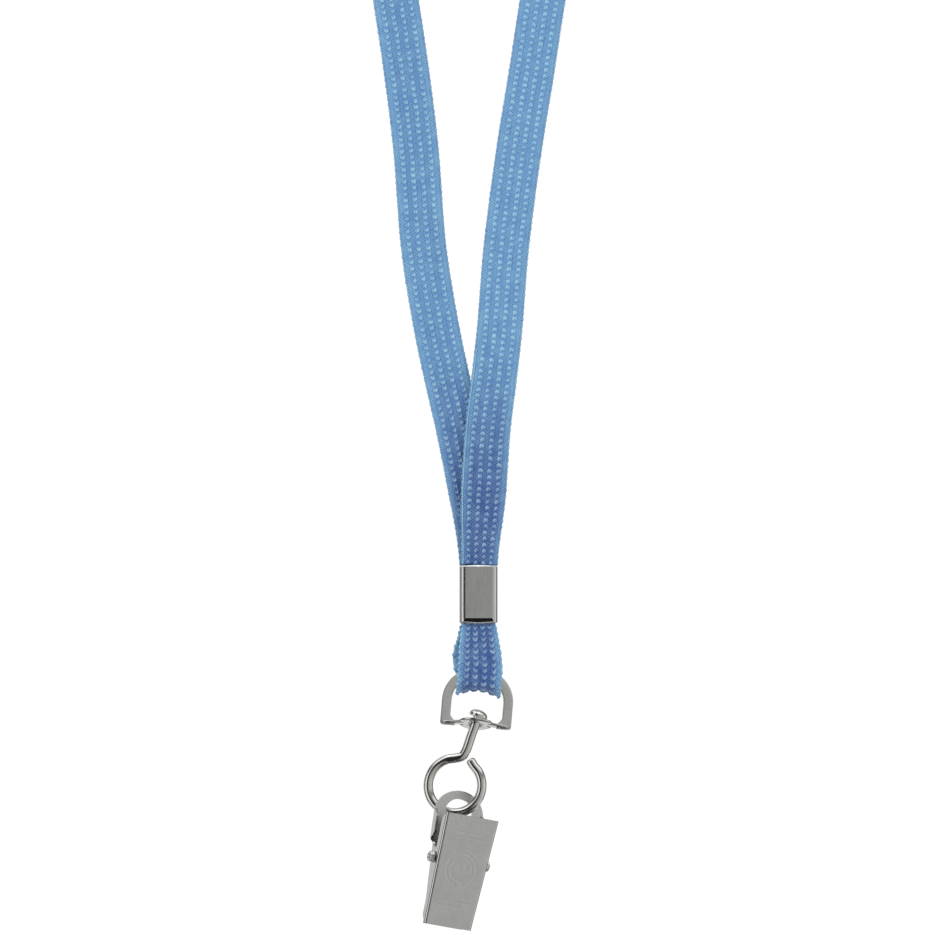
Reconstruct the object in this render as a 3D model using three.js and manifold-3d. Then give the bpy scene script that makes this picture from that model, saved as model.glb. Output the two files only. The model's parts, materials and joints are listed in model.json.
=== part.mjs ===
/*
 * Lanyard badge holder: a soft flat neck strap whose two ends are crimped
 * round a stamped swivel bail, a wire hook that turns in the bail, and a
 * sprung strap clip that hangs from the hook's eye.
 *
 * Millimetres, +Z up, front towards -Y. The origin is the middle of the
 * strap at the nape of the wearer's neck, and everything hangs below it.
 */
import * as THREE from 'three';
import { mergeVertices } from 'three/addons/utils/BufferGeometryUtils.js';
import Module from 'manifold-3d';

// ---------- driving dimensions ----------

const clearance = 0.3; // kept between pieces that meet or run in each other
const cutOver = 1; // how far a cutting tool runs past the surface that it cuts

// strap
const strapWidth = 9.5;
const strapThickness = 1.2;
const strapEdge = 0.3; // half the height of its edge, where the section is chamfered
const strapSteps = 72;
const neckMiddleY = - 50; // the wearer's neck stands on this line
const drapeLow = - 230; // the strap starts to turn round the neck here
const drapeHigh = - 60; // and lies fully on the shoulders here
const drapeUp = 25; // share of the face's upward look on the shoulders
const frontY = - 100; // the middle of the crimp, in front of the neck
const crimpTopZ = - 346;

// crimp
const crimpWidth = 7.85;
const crimpDepth = 4.4;
const crimpHeight = 11.6;
const crimpSheet = 0.5;
const crimpCorner = 1.3;
const crimpSeam = 0.4; // slit where the rolled sheet meets at the back
const crimpNotchWidth = 6.2; // the front wall is short at the bottom, over this width
const crimpNotchHeight = 0.9;

// strap loop below the crimp, that holds the bail
const loopLength = 11.05; // from the bottom of the crimp to the bail's axis
const loopApex = 9.4; // where its two runs meet, above the axis
const loopBottomWidth = 7.9;
const loopWaist = 0.8; // it is this narrow up to here, below the axis
const loopShoulder = 1.8; // and as wide as the strap from here, above the axis
const loopNeck = 4.2; // up to here, where it narrows into the crimp
const loopOffset = 0.25; // the axis lies this far to the right of the crimp
const bailRoll = 5; // degrees, right side down

// swivel bail
const bailWidth = 14.7;
const bailStrip = 2;
const bailSheet = 0.7;
const archLift = 1.8; // the round top stands this much above the swing axis
const plateDrop = 11.05; // from the swing axis to the underside of the bottom plate
const plateThickness = 0.55;
const plateDepth = 1.6;
const plateRise = 0.5; // the disc stands this much above the ends of the plate
const plateSlopeEnd = 3.4;
const discDiameter = 7.2;
const gussetWidth = 1;
const gussetHeight = 1.3;
const bailSwing = - 20; // degrees, bottom forward

// swivel hook, a bent wire with a head
const wireDiameter = 1.95;
const headDiameter = 3.8;
const headHeight = 1.6;
const headRim = 0.6;
const hookYaw = - 12; // degrees, right side forward
const hookPitch = - 6; // degrees, bottom forward
const hookLean = 20; // degrees, bottom to the left, within the plane of the wire
const shankTilt = 23.5; // degrees between the shank and the line square to the plate
const shankLength = 6; // from the disc to the start of the bend
const bendLength = 1.2; // from there to the middle of the bend
const bendShift = 0.35; // the middle of the bend lies this much left of the shank's line
const eyeRadius = 5.65; // middle of the wire
const eyeX = - 4.35; // middle of the eye, from the middle of the disc
const eyeZ = - 12.8;
const eyeStart = 88; // degrees, where the wire joins the eye after the bend
const eyeEnd = 408; // degrees, where the wire leaves the eye for its free end
const tipTurn = 14; // degrees that the free end runs on
const tipFlare = 0.5; // how far it straightens out of the eye

// strap clip: two trays on a pin
const clipYaw = 25;
const clipRoll = 11.9;
const clipSheet = 0.5;
const leverLength = 9.8; // above the pin
const noseLength = 13.45; // below the pin
const frontTilt = 2.5; // degrees that each tray leans away from the middle of the clip
const backTilt = 8.5;
const frontStandoff = 1.75; // from the pin's axis to the inner face of each tray
const backStandoff = 3.15;
const frontLeverHalf = 6;
const frontNoseHalf = 5.4;
const tabHalf = 5.6; // of the back tray's wide top
const tabFoot = 3.9; // where the back tray narrows to pass between the front tray's ears
const jawNest = 0.45; // gap between the front tray's sides and the back tray's
const flangeDepth = 1.4;
const earRadius = 1.4;
const earFillet = 0.9; // how far an ear's foot spreads along the flange
const tabHeight = 4.9; // of the back tray's tab, above its lever
const tabBand = 1.7; // metal left over the tab's hole
const holeWidth = 6.2;
const holeHeight = 5.3;
const hangDrop = 5.3; // from the top of the tab to the middle of the hook's wire
const hangSide = 0.75; // the wire crosses the tab this far left of its middle
const pinDiameter = 1.4;
const pinHeadDiameter = 2.4;
const pinHeadLength = 0.8;
const pinHeadRound = 0.35;
const springWire = 0.45;
const springRadius = 1.2;
const springPitch = 0.75;
const springTurns = 4; // and a half, so that the legs leave on opposite sides
const springLeg = 6.2;

// ---------- the strap's route, chosen by hand ----------
// From the top of the crimp up the right leg, round the nape, down the left leg.

const strapRoute = [
	[ 0.2, - 100.8, - 345.7 ],
	[ 0.5, - 100.8, - 339.5 ],
	[ 0.95, - 100.8, - 332.5 ],
	[ 1.95, - 100.8, - 317.6 ],
	[ 3.2, - 100.8, - 307.3 ],
	[ 4.35, - 100.7, - 297.1 ],
	[ 5.7, - 100.5, - 280.4 ],
	[ 8.4, - 100.2, - 259.7 ],
	[ 10.95, - 99.9, - 244 ],
	[ 13.6, - 99.5, - 227 ],
	[ 19, - 98.5, - 199 ],
	[ 27, - 97, - 168 ],
	[ 36, - 94, - 137 ],
	[ 44.5, - 89.5, - 106 ],
	[ 51, - 81, - 74 ],
	[ 54.5, - 68, - 45 ],
	[ 54.5, - 51, - 23 ],
	[ 48.5, - 32, - 9 ],
	[ 34, - 13, - 2 ],
	[ 0, 0, 0 ],
	[ - 34, - 13, - 2 ],
	[ - 48.5, - 32, - 9 ],
	[ - 54.5, - 51, - 23 ],
	[ - 54.5, - 68, - 45 ],
	[ - 51, - 81, - 74 ],
	[ - 44.5, - 89.5, - 106 ],
	[ - 37, - 94, - 137 ],
	[ - 29, - 96.5, - 168 ],
	[ - 22.2, - 97.5, - 199 ],
	[ - 17.4, - 98, - 227 ],
	[ - 14.85, - 98.2, - 244 ],
	[ - 12.95, - 98.4, - 259.7 ],
	[ - 11.3, - 98.6, - 280.4 ],
	[ - 8.6, - 98.8, - 297.1 ],
	[ - 6.45, - 99, - 307.3 ],
	[ - 4.1, - 99.2, - 317.6 ],
	[ - 1.25, - 99.2, - 332.5 ],
	[ - 0.5, - 99.2, - 339.5 ],
	[ - 0.2, - 99.2, - 345.7 ],
];

// ---------- finishes ----------

const polyester = () => new THREE.MeshStandardMaterial( { color: 0x6c9fd6, roughness: 0.9 } );
const nickel = () => new THREE.MeshStandardMaterial( { color: 0xa9a7a2, roughness: 0.3, metalness: 1 } );
const brightNickel = () => new THREE.MeshStandardMaterial( { color: 0xc4c2bd, roughness: 0.12, metalness: 1 } );
const springSteel = () => new THREE.MeshStandardMaterial( { color: 0x8c8c8a, roughness: 0.35, metalness: 1 } );

// ---------- small tools ----------

const degrees = THREE.MathUtils.degToRad;
const wasm = await Module();
wasm.setup();

/** A closed geometry as a solid that can be joined and cut. */
function solid( geometry ) {

	const bare = geometry.clone();
	bare.deleteAttribute( 'normal' );
	bare.deleteAttribute( 'uv' );
	const merged = mergeVertices( bare, 1e-4 );
	const mesh = new wasm.Mesh( {
		numProp: 3,
		vertProperties: merged.attributes.position.array,
		triVerts: new Uint32Array( merged.index.array ),
	} );
	return new wasm.Manifold( mesh );

}

/** A solid as a geometry again. */
function geometryOf( body ) {

	const mesh = body.getMesh();
	const geometry = new THREE.BufferGeometry();
	geometry.setAttribute( 'position', new THREE.BufferAttribute( mesh.vertProperties, 3 ) );
	geometry.setIndex( new THREE.BufferAttribute( mesh.triVerts, 1 ) );
	geometry.computeVertexNormals();
	return geometry;

}

/** An outline drawn in x and z, given a thickness in y, half on each side of y = 0. */
function frontal( shape, thickness, curveSegments = 12 ) {

	const geometry = new THREE.ExtrudeGeometry( shape, { depth: thickness, bevelEnabled: false, curveSegments } );
	return geometry.translate( 0, 0, - thickness / 2 ).rotateX( Math.PI / 2 );

}

/** An outline drawn in y and z, given a thickness in x, half on each side of x = 0. */
function sideways( shape, thickness, curveSegments = 8 ) {

	const geometry = new THREE.ExtrudeGeometry( shape, { depth: thickness, bevelEnabled: false, curveSegments } );
	return geometry.translate( 0, 0, - thickness / 2 ).rotateX( Math.PI / 2 ).rotateZ( Math.PI / 2 );

}

/** An outline drawn in x and y, given a height in z, from z = 0 up. */
function upright( shape, height, curveSegments = 12 ) {

	return new THREE.ExtrudeGeometry( shape, { depth: height, bevelEnabled: false, curveSegments } );

}

/** A closed outline through corners. */
function polygon( corners ) {

	return new THREE.Shape( corners.map( ( [ x, y ] ) => new THREE.Vector2( x, y ) ) );

}

/** A disc's outline. */
function circle( radius, x = 0, y = 0 ) {

	return new THREE.Shape().absarc( x, y, radius, 0, 2 * Math.PI );

}

/** A rectangle with round corners, about the origin. */
function roundedRectangle( width, height, radius ) {

	const x = width / 2 - radius;
	const y = height / 2 - radius;
	const shape = new THREE.Shape();
	shape.absarc( x, y, radius, 0, Math.PI / 2 );
	shape.absarc( - x, y, radius, Math.PI / 2, Math.PI );
	shape.absarc( - x, - y, radius, Math.PI, 1.5 * Math.PI );
	shape.absarc( x, - y, radius, 1.5 * Math.PI, 2 * Math.PI );
	return shape;

}

/** A round wire through points, with flat ends. */
function wire( points, diameter, steps, sides ) {

	const section = [];
	for ( let i = 0; i < sides; i ++ ) {

		const angle = 2 * Math.PI * i / sides;
		section.push( [ diameter / 2 * Math.cos( angle ), diameter / 2 * Math.sin( angle ) ] );

	}

	const path = new THREE.CatmullRomCurve3( points, false, 'centripetal' );
	return new THREE.ExtrudeGeometry( polygon( section ), { steps, extrudePath: path } );

}

const holder = new THREE.Group();

/** Adds one named piece to a group. */
function piece( group, name, geometry, material ) {

	const mesh = new THREE.Mesh( geometry, material );
	mesh.name = name;
	group.add( mesh );
	return mesh;

}

/** A group at a point of the part, turned about Z, then X, then Y. */
function placed( point, { roll = 0, pitch = 0, yaw = 0 } ) {

	const group = new THREE.Group();
	group.position.copy( point );
	group.rotation.set( degrees( pitch ), degrees( roll ), degrees( yaw ), 'YXZ' );
	holder.add( group );
	group.updateMatrixWorld( true );
	return group;

}

// ---------- neck strap ----------

/**
 * The strap's middle line. Its frames keep the flat face turned away from
 * the wearer: forwards on the chest, outwards and up round the neck.
 */
class StrapCurve extends THREE.CatmullRomCurve3 {

	computeFrenetFrames( segments ) {

		const frames = { tangents: [], normals: [], binormals: [] };
		for ( let i = 0; i <= segments; i ++ ) {

			const tangent = this.getTangentAt( i / segments );
			const face = faceAt( this.getPointAt( i / segments ) );
			face.addScaledVector( tangent, - face.dot( tangent ) ).normalize();
			frames.tangents.push( tangent );
			frames.normals.push( face.clone().cross( tangent ) );
			frames.binormals.push( face );

		}

		return frames;

	}

}

/** The way the strap's face looks at a point: away from the neck, and forwards low down. */
function faceAt( point ) {

	const high = THREE.MathUtils.smoothstep( point.z, drapeLow, drapeHigh );
	return new THREE.Vector3( high * point.x, point.y - neckMiddleY, drapeUp * high );

}

/** The free strap, as a flat tube with chamfered edges. */
function neckStrap() {

	const side = strapWidth / 2;
	const half = strapThickness / 2;
	const inset = side - half;
	const section = polygon( [
		[ side, - strapEdge ], [ side, strapEdge ], [ inset, half ], [ - inset, half ],
		[ - side, strapEdge ], [ - side, - strapEdge ], [ - inset, - half ], [ inset, - half ],
	] );
	const points = strapRoute.map( ( p ) => new THREE.Vector3( ...p ) );
	const extrudePath = new StrapCurve( points, false, 'centripetal' );
	return new THREE.ExtrudeGeometry( section, { steps: strapSteps, extrudePath } );

}

// ---------- crimp ----------

const crimpInnerWidth = crimpWidth - 2 * crimpSheet;
const crimpInnerDepth = crimpDepth - 2 * crimpSheet;

/** A sleeve rolled from sheet, with its seam at the back and a short front wall. */
function crimpSleeve() {

	const innerCorner = crimpCorner - crimpSheet;
	const sleeve = solid( upright( roundedRectangle( crimpWidth, crimpDepth, crimpCorner ), crimpHeight, 5 ) );
	const inside = upright(
		roundedRectangle( crimpInnerWidth, crimpInnerDepth, innerCorner ), crimpHeight + 2 * cutOver, 4
	).translate( 0, 0, - cutOver );
	const seam = new THREE.BoxGeometry( crimpSeam, 2 * crimpSheet, crimpHeight + 2 * cutOver )
		.translate( 0, ( crimpDepth - crimpSheet ) / 2, crimpHeight / 2 );
	const notch = new THREE.BoxGeometry( crimpNotchWidth, 2 * crimpSheet, 2 * crimpNotchHeight )
		.translate( 0, - ( crimpDepth - crimpSheet ) / 2, 0 );
	const cut = sleeve.subtract( solid( inside ) ).subtract( solid( seam ) ).subtract( solid( notch ) );
	return geometryOf( cut ).translate( 0, frontY, crimpTopZ - crimpHeight );

}

/** The layers of strap inside the crimp, as one block. */
function strapInCrimp() {

	const width = crimpInnerWidth - 2 * clearance;
	const depth = crimpInnerDepth - 2 * clearance;
	const height = crimpHeight - 2 * clearance;
	return upright( roundedRectangle( width, depth, crimpCorner - crimpSheet ), height, 4 )
		.translate( 0, frontY, crimpTopZ - crimpHeight + clearance );

}

// ---------- strap loop ----------

const swingAxis = new THREE.Vector3( loopOffset, frontY, crimpTopZ - crimpHeight - loopLength );
const archDrop = bailWidth / 2 - archLift; // from the swing axis to the middle of the round top
const bailInner = bailWidth / 2 - bailStrip;

/** The loop's inner radius: it clears the bail's inner edge at the loop's own edges, as the bail swings. */
function loopHollow() {

	const edge = loopBottomWidth / 2 + archDrop * Math.sin( degrees( bailRoll ) ) / 2;
	const corner = archDrop - Math.sqrt( bailInner ** 2 - edge ** 2 );
	return Math.hypot( corner, bailSheet / 2 ) + clearance / 2;

}

/** A round bottom about the origin, drawn up by straight sides to a narrow top. */
function tearShape( radius, topHalf, topHeight ) {

	const tangent = Math.atan2( topHeight, topHalf ) - Math.acos( radius / Math.hypot( topHalf, topHeight ) );
	const shape = new THREE.Shape();
	shape.absarc( 0, 0, radius, tangent, Math.PI - tangent, true );
	shape.lineTo( - topHalf, topHeight );
	if ( topHalf > 0 ) shape.lineTo( topHalf, topHeight );
	return shape;

}

/** The strap's turn round the bail: a tear-shaped band, cut to the strap's outline. */
function bailLoop() {

	const top = loopLength - clearance;
	const topHalf = crimpInnerDepth / 2 - clearance;
	const hollow = loopHollow();
	const outer = solid( sideways( tearShape( hollow + strapThickness, topHalf, top + cutOver ), 2 * strapWidth ) );
	const inner = solid( sideways( tearShape( hollow, 0, loopApex ), 3 * strapWidth, 14 ) );
	const band = geometryOf( outer.subtract( inner ) ).rotateY( degrees( bailRoll ) );
	const neck = crimpInnerWidth / 2;
	const wide = strapWidth / 2;
	const narrow = loopBottomWidth / 2;
	const bottom = - hollow - strapThickness - cutOver;
	const right = [
		[ narrow, bottom ], [ narrow, - loopWaist ], [ wide, loopShoulder ], [ wide, loopNeck ], [ neck, top ],
	];
	const left = right.map( ( [ x, z ] ) => [ - x, z ] ).reverse();
	const outline = solid( frontal( polygon( right.concat( left ) ), 4 * strapWidth ) );
	return geometryOf( solid( band ).intersect( outline ) ).translate( swingAxis.x, swingAxis.y, swingAxis.z );

}

// ---------- swivel bail ----------

const tilt = degrees( shankTilt );

/** The hook's hole, with room for the wire to lean in it. */
const hookHoleDiameter = wireDiameter / Math.cos( tilt ) + plateThickness * Math.tan( tilt ) + clearance;

/** A stamped D with a flat round top, and a bottom plate with the hook's disc. */
function swivelBail() {

	const outer = bailWidth / 2;
	const inner = bailInner;
	const low = - plateDrop;
	const high = low + plateRise;
	const arms = new THREE.Shape();
	arms.absarc( 0, - archDrop, outer, 0, Math.PI );
	arms.lineTo( - outer, low );
	arms.lineTo( - inner + gussetWidth, low );
	arms.lineTo( - inner + gussetWidth, low + plateThickness );
	arms.lineTo( - inner, low + plateThickness + gussetHeight );
	arms.lineTo( - inner, - archDrop );
	arms.absarc( 0, - archDrop, inner, Math.PI, 0, true );
	arms.lineTo( inner, low + plateThickness + gussetHeight );
	arms.lineTo( inner - gussetWidth, low + plateThickness );
	arms.lineTo( inner - gussetWidth, low );
	arms.lineTo( outer, low );
	const bar = polygon( [
		[ - outer, low ], [ - plateSlopeEnd, high ], [ plateSlopeEnd, high ], [ outer, low ],
		[ outer, low + plateThickness ], [ plateSlopeEnd, high + plateThickness ],
		[ - plateSlopeEnd, high + plateThickness ], [ - outer, low + plateThickness ],
	] );
	const disc = upright( circle( discDiameter / 2 ), plateThickness, 16 ).translate( 0, 0, high );
	const hole = upright( circle( hookHoleDiameter / 2 ), plateThickness + 2 * cutOver, 10 ).translate( 0, 0, high - cutOver );
	const whole = solid( frontal( arms, bailSheet, 16 ) ).add( solid( frontal( bar, plateDepth ) ) );
	return geometryOf( whole.add( solid( disc ) ).subtract( solid( hole ) ) );

}

// ---------- swivel hook ----------

/** A point of the eye's middle line, in the hook's own plane. */
function eyePoint( angle, radius = eyeRadius ) {

	const turn = degrees( angle );
	return new THREE.Vector3( eyeX + radius * Math.cos( turn ), 0, eyeZ + radius * Math.sin( turn ) );

}

/** The bent wire: a straight shank, a bend and an open eye, with a round head on top. */
function swivelHook() {

	const lean = degrees( hookLean );
	const headLift = plateThickness / 2 + clearance + headDiameter / 2 * Math.sin( tilt );
	const along = ( distance ) => new THREE.Vector3( - distance * Math.sin( lean ), 0, - distance * Math.cos( lean ) );
	const points = [ along( - headLift - headRim / 2 ), along( shankLength / 2 ), along( shankLength ) ];
	points.push( along( shankLength + bendLength ).setX( - ( shankLength + bendLength ) * Math.sin( lean ) - bendShift ) );
	for ( let angle = eyeStart; angle < eyeEnd; angle += 20 ) points.push( eyePoint( angle ) );
	points.push( eyePoint( eyeEnd ), eyePoint( eyeEnd + tipTurn, eyeRadius + tipFlare ) );
	const profile = [ [ 0, 0 ], [ headDiameter / 2, 0 ], [ headDiameter / 2, headRim ] ];
	for ( const turn of [ 30, 60 ] ) {

		const angle = degrees( turn );
		const radius = headDiameter / 2 * Math.cos( angle );
		profile.push( [ radius, headRim + ( headHeight - headRim ) * Math.sin( angle ) ] );

	}

	profile.push( [ 0, headHeight ] );
	const head = new THREE.LatheGeometry( profile.map( ( [ x, y ] ) => new THREE.Vector2( x, y ) ), 20 )
		.translate( 0, headLift, 0 ).rotateX( Math.PI / 2 ).rotateY( lean );
	const bent = solid( wire( points, wireDiameter, 60, 12 ) ).add( solid( head ) );
	return geometryOf( bent );

}

// ---------- strap clip ----------

const pinHoleDiameter = pinDiameter + 2 * clearance;
const frontLean = degrees( frontTilt );
const backLean = degrees( backTilt );

/** How far a jaw's lip stands off its sheet, so that the two lips all but meet. */
function lipReach( standoff, lean ) {

	return ( standoff * Math.cos( lean ) - noseLength * Math.sin( lean ) - clearance / 2 ) / Math.cos( lean );

}

/** A flange's outline for one side of a jaw, between two heights, with or without an ear for the pin near its top. */
function flangeShape( standoff, low, high, ear ) {

	const back = - standoff;
	const rim = back + flangeDepth;
	const shape = new THREE.Shape();
	shape.moveTo( back - clipSheet, low );
	shape.lineTo( back, low );
	shape.lineTo( rim, low + flangeDepth );
	if ( ear ) {

		shape.lineTo( rim, - earRadius - earFillet );
		shape.lineTo( 0, - earRadius );
		shape.absarc( 0, 0, earRadius, - Math.PI / 2, Math.PI / 2 );
		if ( high - flangeDepth > earRadius + earFillet ) shape.lineTo( rim, earRadius + earFillet );

	}

	if ( ! ear || high - flangeDepth > earRadius + earFillet ) shape.lineTo( rim, high - flangeDepth );
	shape.lineTo( back, high );
	shape.lineTo( back - clipSheet, high );
	return shape;

}

/** A pair of flanges whose outer faces run from one half width at a low end to another at a high end. */
function flanges( shape, low, lowHalf, high, highHalf ) {

	const middle = ( low + high ) / 2;
	const taper = Math.atan2( highHalf - lowHalf, high - low );
	const pair = [ - 1, 1 ].map( ( side ) => {

		const fold = sideways( shape, clipSheet ).translate( 0, 0, - middle ).rotateY( side * taper );
		return solid( fold.translate( side * ( ( lowHalf + highHalf ) / 2 - clipSheet / 2 ), 0, middle ) );

	} );
	return pair[ 0 ].add( pair[ 1 ] );

}

/** A flat part of a jaw, drawn in x and z and set at its distance from the pin. */
function sheet( outline, standoff, thickness = clipSheet ) {

	return solid( frontal( outline, thickness, 20 ).translate( 0, - standoff - clipSheet / 2, 0 ) );

}

/** A lip across the end of a jaw. */
function lip( half, standoff, lean ) {

	const depth = clipSheet + lipReach( standoff, lean );
	const box = new THREE.BoxGeometry( 2 * half - 2 * clipSheet, depth, clipSheet );
	return solid( box.translate( 0, depth / 2 - standoff - clipSheet, clipSheet / 2 - noseLength ) );

}

/** The bore for the pin, through both ears of a jaw. */
function pinBore() {

	const length = 4 * frontLeverHalf;
	const bore = upright( circle( pinHoleDiameter / 2 ), length, 6 );
	return solid( bore.translate( 0, 0, - length / 2 ).rotateY( Math.PI / 2 ) );

}

/** The front jaw: a tapering tray with ears for the pin and a gripping lip. */
function frontJaw() {

	const outline = polygon( [
		[ - frontNoseHalf, - noseLength ], [ frontNoseHalf, - noseLength ],
		[ frontLeverHalf, leverLength ], [ - frontLeverHalf, leverLength ],
	] );
	const sides = flangeShape( frontStandoff, - noseLength, leverLength, true );
	const jaw = sheet( outline, frontStandoff )
		.add( flanges( sides, - noseLength, frontNoseHalf, leverLength, frontLeverHalf ) )
		.add( lip( frontNoseHalf, frontStandoff, frontLean ) )
		.subtract( pinBore() );
	return geometryOf( jaw ).rotateX( frontLean );

}

const frontTaper = ( frontLeverHalf - frontNoseHalf ) / ( leverLength + noseLength );

/** Half the front jaw's width at a height above the pin. */
const frontHalfAt = ( z ) => frontNoseHalf + frontTaper * ( z + noseLength );

/**
 * The back jaw: a narrower tray that passes between the front jaw's ears, and a
 * wide top that ends in a round tab with the hole for the hook.
 */
function backJaw() {

	const inset = clipSheet + jawNest;
	const noseHalf = frontNoseHalf - inset;
	const earTop = tabFoot - flangeDepth / 2;
	const footHalf = frontHalfAt( earTop ) - inset;
	const outline = new THREE.Shape();
	outline.moveTo( - noseHalf, - noseLength );
	outline.lineTo( noseHalf, - noseLength );
	outline.lineTo( footHalf, earTop );
	outline.lineTo( tabHalf, tabFoot );
	outline.lineTo( tabHalf, leverLength );
	outline.absellipse( 0, leverLength, tabHalf, tabHeight, 0, Math.PI );
	outline.lineTo( - tabHalf, tabFoot );
	outline.lineTo( - footHalf, earTop );
	const holeMiddle = leverLength + tabHeight - tabBand - holeHeight / 2;
	const hole = new THREE.Shape().absellipse( 0, holeMiddle, holeWidth / 2, holeHeight / 2, 0, 2 * Math.PI );
	const low = flangeShape( backStandoff, - noseLength, earTop, true );
	const high = flangeShape( backStandoff, tabFoot, leverLength, false );
	const jaw = sheet( outline, backStandoff )
		.add( flanges( low, - noseLength, noseHalf, earTop, footHalf ) )
		.add( flanges( high, tabFoot, tabHalf, leverLength, tabHalf ) )
		.add( lip( noseHalf, backStandoff, backLean ) )
		.subtract( pinBore() )
		.subtract( sheet( hole, backStandoff, 3 * clipSheet ) );
	return geometryOf( jaw ).rotateZ( Math.PI ).rotateX( - backLean );

}

const earOuter = frontHalfAt( earRadius );

/** The pin: a plain shaft with a round head formed at each end, outside the ears. */
function hingePin() {

	const shaft = pinDiameter / 2;
	const neck = earOuter + clearance;
	const end = neck + pinHeadLength;
	const head = pinHeadDiameter / 2;
	const profile = [
		[ 0, - end ], [ head - pinHeadRound, - end ], [ head, - end + pinHeadRound ], [ head, - neck ], [ shaft, - neck ],
		[ shaft, neck ], [ head, neck ], [ head, end - pinHeadRound ], [ head - pinHeadRound, end ], [ 0, end ],
	];
	return new THREE.LatheGeometry( profile.map( ( [ x, y ] ) => new THREE.Vector2( x, y ) ), 16 ).rotateZ( Math.PI / 2 );

}

/** How far a jaw's inner face is from the middle of the clip, at a height above the pin. */
function sheetAt( height, standoff, lean ) {

	return ( standoff + height * Math.sin( lean ) ) / Math.cos( lean );

}

/** The torsion spring: a coil round the pin, with a leg up each lever. */
function torsionSpring() {

	const turns = springTurns + 0.5;
	const start = - turns * springPitch / 2;
	const perTurn = 10;
	const legAt = ( standoff, lean ) => sheetAt( springLeg, standoff, lean ) - springWire / 2 - clearance;
	const frontLeg = legAt( frontStandoff, frontLean );
	const backLeg = legAt( backStandoff, backLean );
	const points = [
		new THREE.Vector3( start, - frontLeg, springLeg ),
		new THREE.Vector3( start, - ( frontLeg + springRadius ) / 2, springLeg / 2 ),
	];
	for ( let i = 0; i <= turns * perTurn; i ++ ) {

		const angle = 2 * Math.PI * i / perTurn;
		const x = start + springPitch * i / perTurn;
		points.push( new THREE.Vector3( x, - springRadius * Math.cos( angle ), - springRadius * Math.sin( angle ) ) );

	}

	points.push(
		new THREE.Vector3( - start, ( backLeg + springRadius ) / 2, springLeg / 2 ),
		new THREE.Vector3( - start, backLeg, springLeg ),
	);
	return wire( points, springWire, 78, 6 );

}

// ---------- assembly ----------

piece( holder, 'neck_strap', neckStrap(), polyester() );
piece( holder, 'crimp_sleeve', crimpSleeve(), nickel() );
piece( holder, 'strap_in_crimp', strapInCrimp(), polyester() );
piece( holder, 'strap_bail_loop', bailLoop(), polyester() );

const bail = placed( swingAxis, { roll: bailRoll, pitch: bailSwing } );
piece( bail, 'swivel_bail', swivelBail(), nickel() );

const discMiddle = bail.localToWorld( new THREE.Vector3( 0, 0, - plateDrop + plateRise + plateThickness / 2 ) );
const hook = placed( discMiddle, { pitch: hookPitch, yaw: hookYaw } );
piece( hook, 'swivel_hook', swivelHook(), brightNickel() );

// The back jaw's sheet crosses the wire at the bottom of the eye.
const hangZ = leverLength + tabHeight - hangDrop;
const hangY = sheetAt( hangZ, backStandoff + clipSheet / 2, backLean );
const clip = placed( hook.localToWorld( eyePoint( 270 ) ), { roll: clipRoll, yaw: clipYaw } );
const pinPoint = clip.localToWorld( new THREE.Vector3( hangSide, - hangY, - hangZ ) );
clip.position.copy( pinPoint );
piece( clip, 'clip_back_jaw', backJaw(), nickel() );
piece( clip, 'clip_front_jaw', frontJaw(), nickel() );
piece( clip, 'hinge_pin', hingePin(), brightNickel() );
piece( clip, 'torsion_spring', torsionSpring(), springSteel() );

export default holder;
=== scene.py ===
"""Looks for a lanyard badge holder: a knitted strap crimped on a swivel bail, a wire hook and a sprung clip.

Metres, +Z up, front towards -Y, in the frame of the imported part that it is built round.
"""

import json
import math

import bmesh
import bpy
import numpy as np
from mathutils import Matrix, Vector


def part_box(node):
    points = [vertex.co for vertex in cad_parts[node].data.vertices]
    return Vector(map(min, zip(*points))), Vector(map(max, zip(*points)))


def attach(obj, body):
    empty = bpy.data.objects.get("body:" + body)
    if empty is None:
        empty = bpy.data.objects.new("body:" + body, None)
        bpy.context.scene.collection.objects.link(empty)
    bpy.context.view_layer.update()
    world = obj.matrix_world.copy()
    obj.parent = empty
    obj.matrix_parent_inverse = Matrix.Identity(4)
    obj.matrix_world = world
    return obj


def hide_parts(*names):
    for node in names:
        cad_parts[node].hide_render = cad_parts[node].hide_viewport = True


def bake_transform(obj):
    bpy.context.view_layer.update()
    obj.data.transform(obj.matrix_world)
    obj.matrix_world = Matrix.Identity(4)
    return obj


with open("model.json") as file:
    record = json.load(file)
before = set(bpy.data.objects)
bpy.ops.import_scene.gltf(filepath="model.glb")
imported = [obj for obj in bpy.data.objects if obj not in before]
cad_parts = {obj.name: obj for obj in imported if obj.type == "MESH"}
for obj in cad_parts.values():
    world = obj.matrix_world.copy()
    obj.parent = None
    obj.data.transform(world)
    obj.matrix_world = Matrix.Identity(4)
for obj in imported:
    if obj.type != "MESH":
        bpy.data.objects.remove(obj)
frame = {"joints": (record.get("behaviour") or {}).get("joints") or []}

bl_info = {
    "name": "Lanyard badge holder",
    "version": (1, 0, 0),
    "blender": (4, 5, 0),
    "location": "3D View > Sidebar > Lanyard",
    "description": "Builds the strap, crimp, bail, hook and clip of a lanyard badge holder",
    "category": "Add Mesh",
}

MM = 0.001
JOINTS = {j["name"]: j for j in frame["joints"]}

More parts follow.
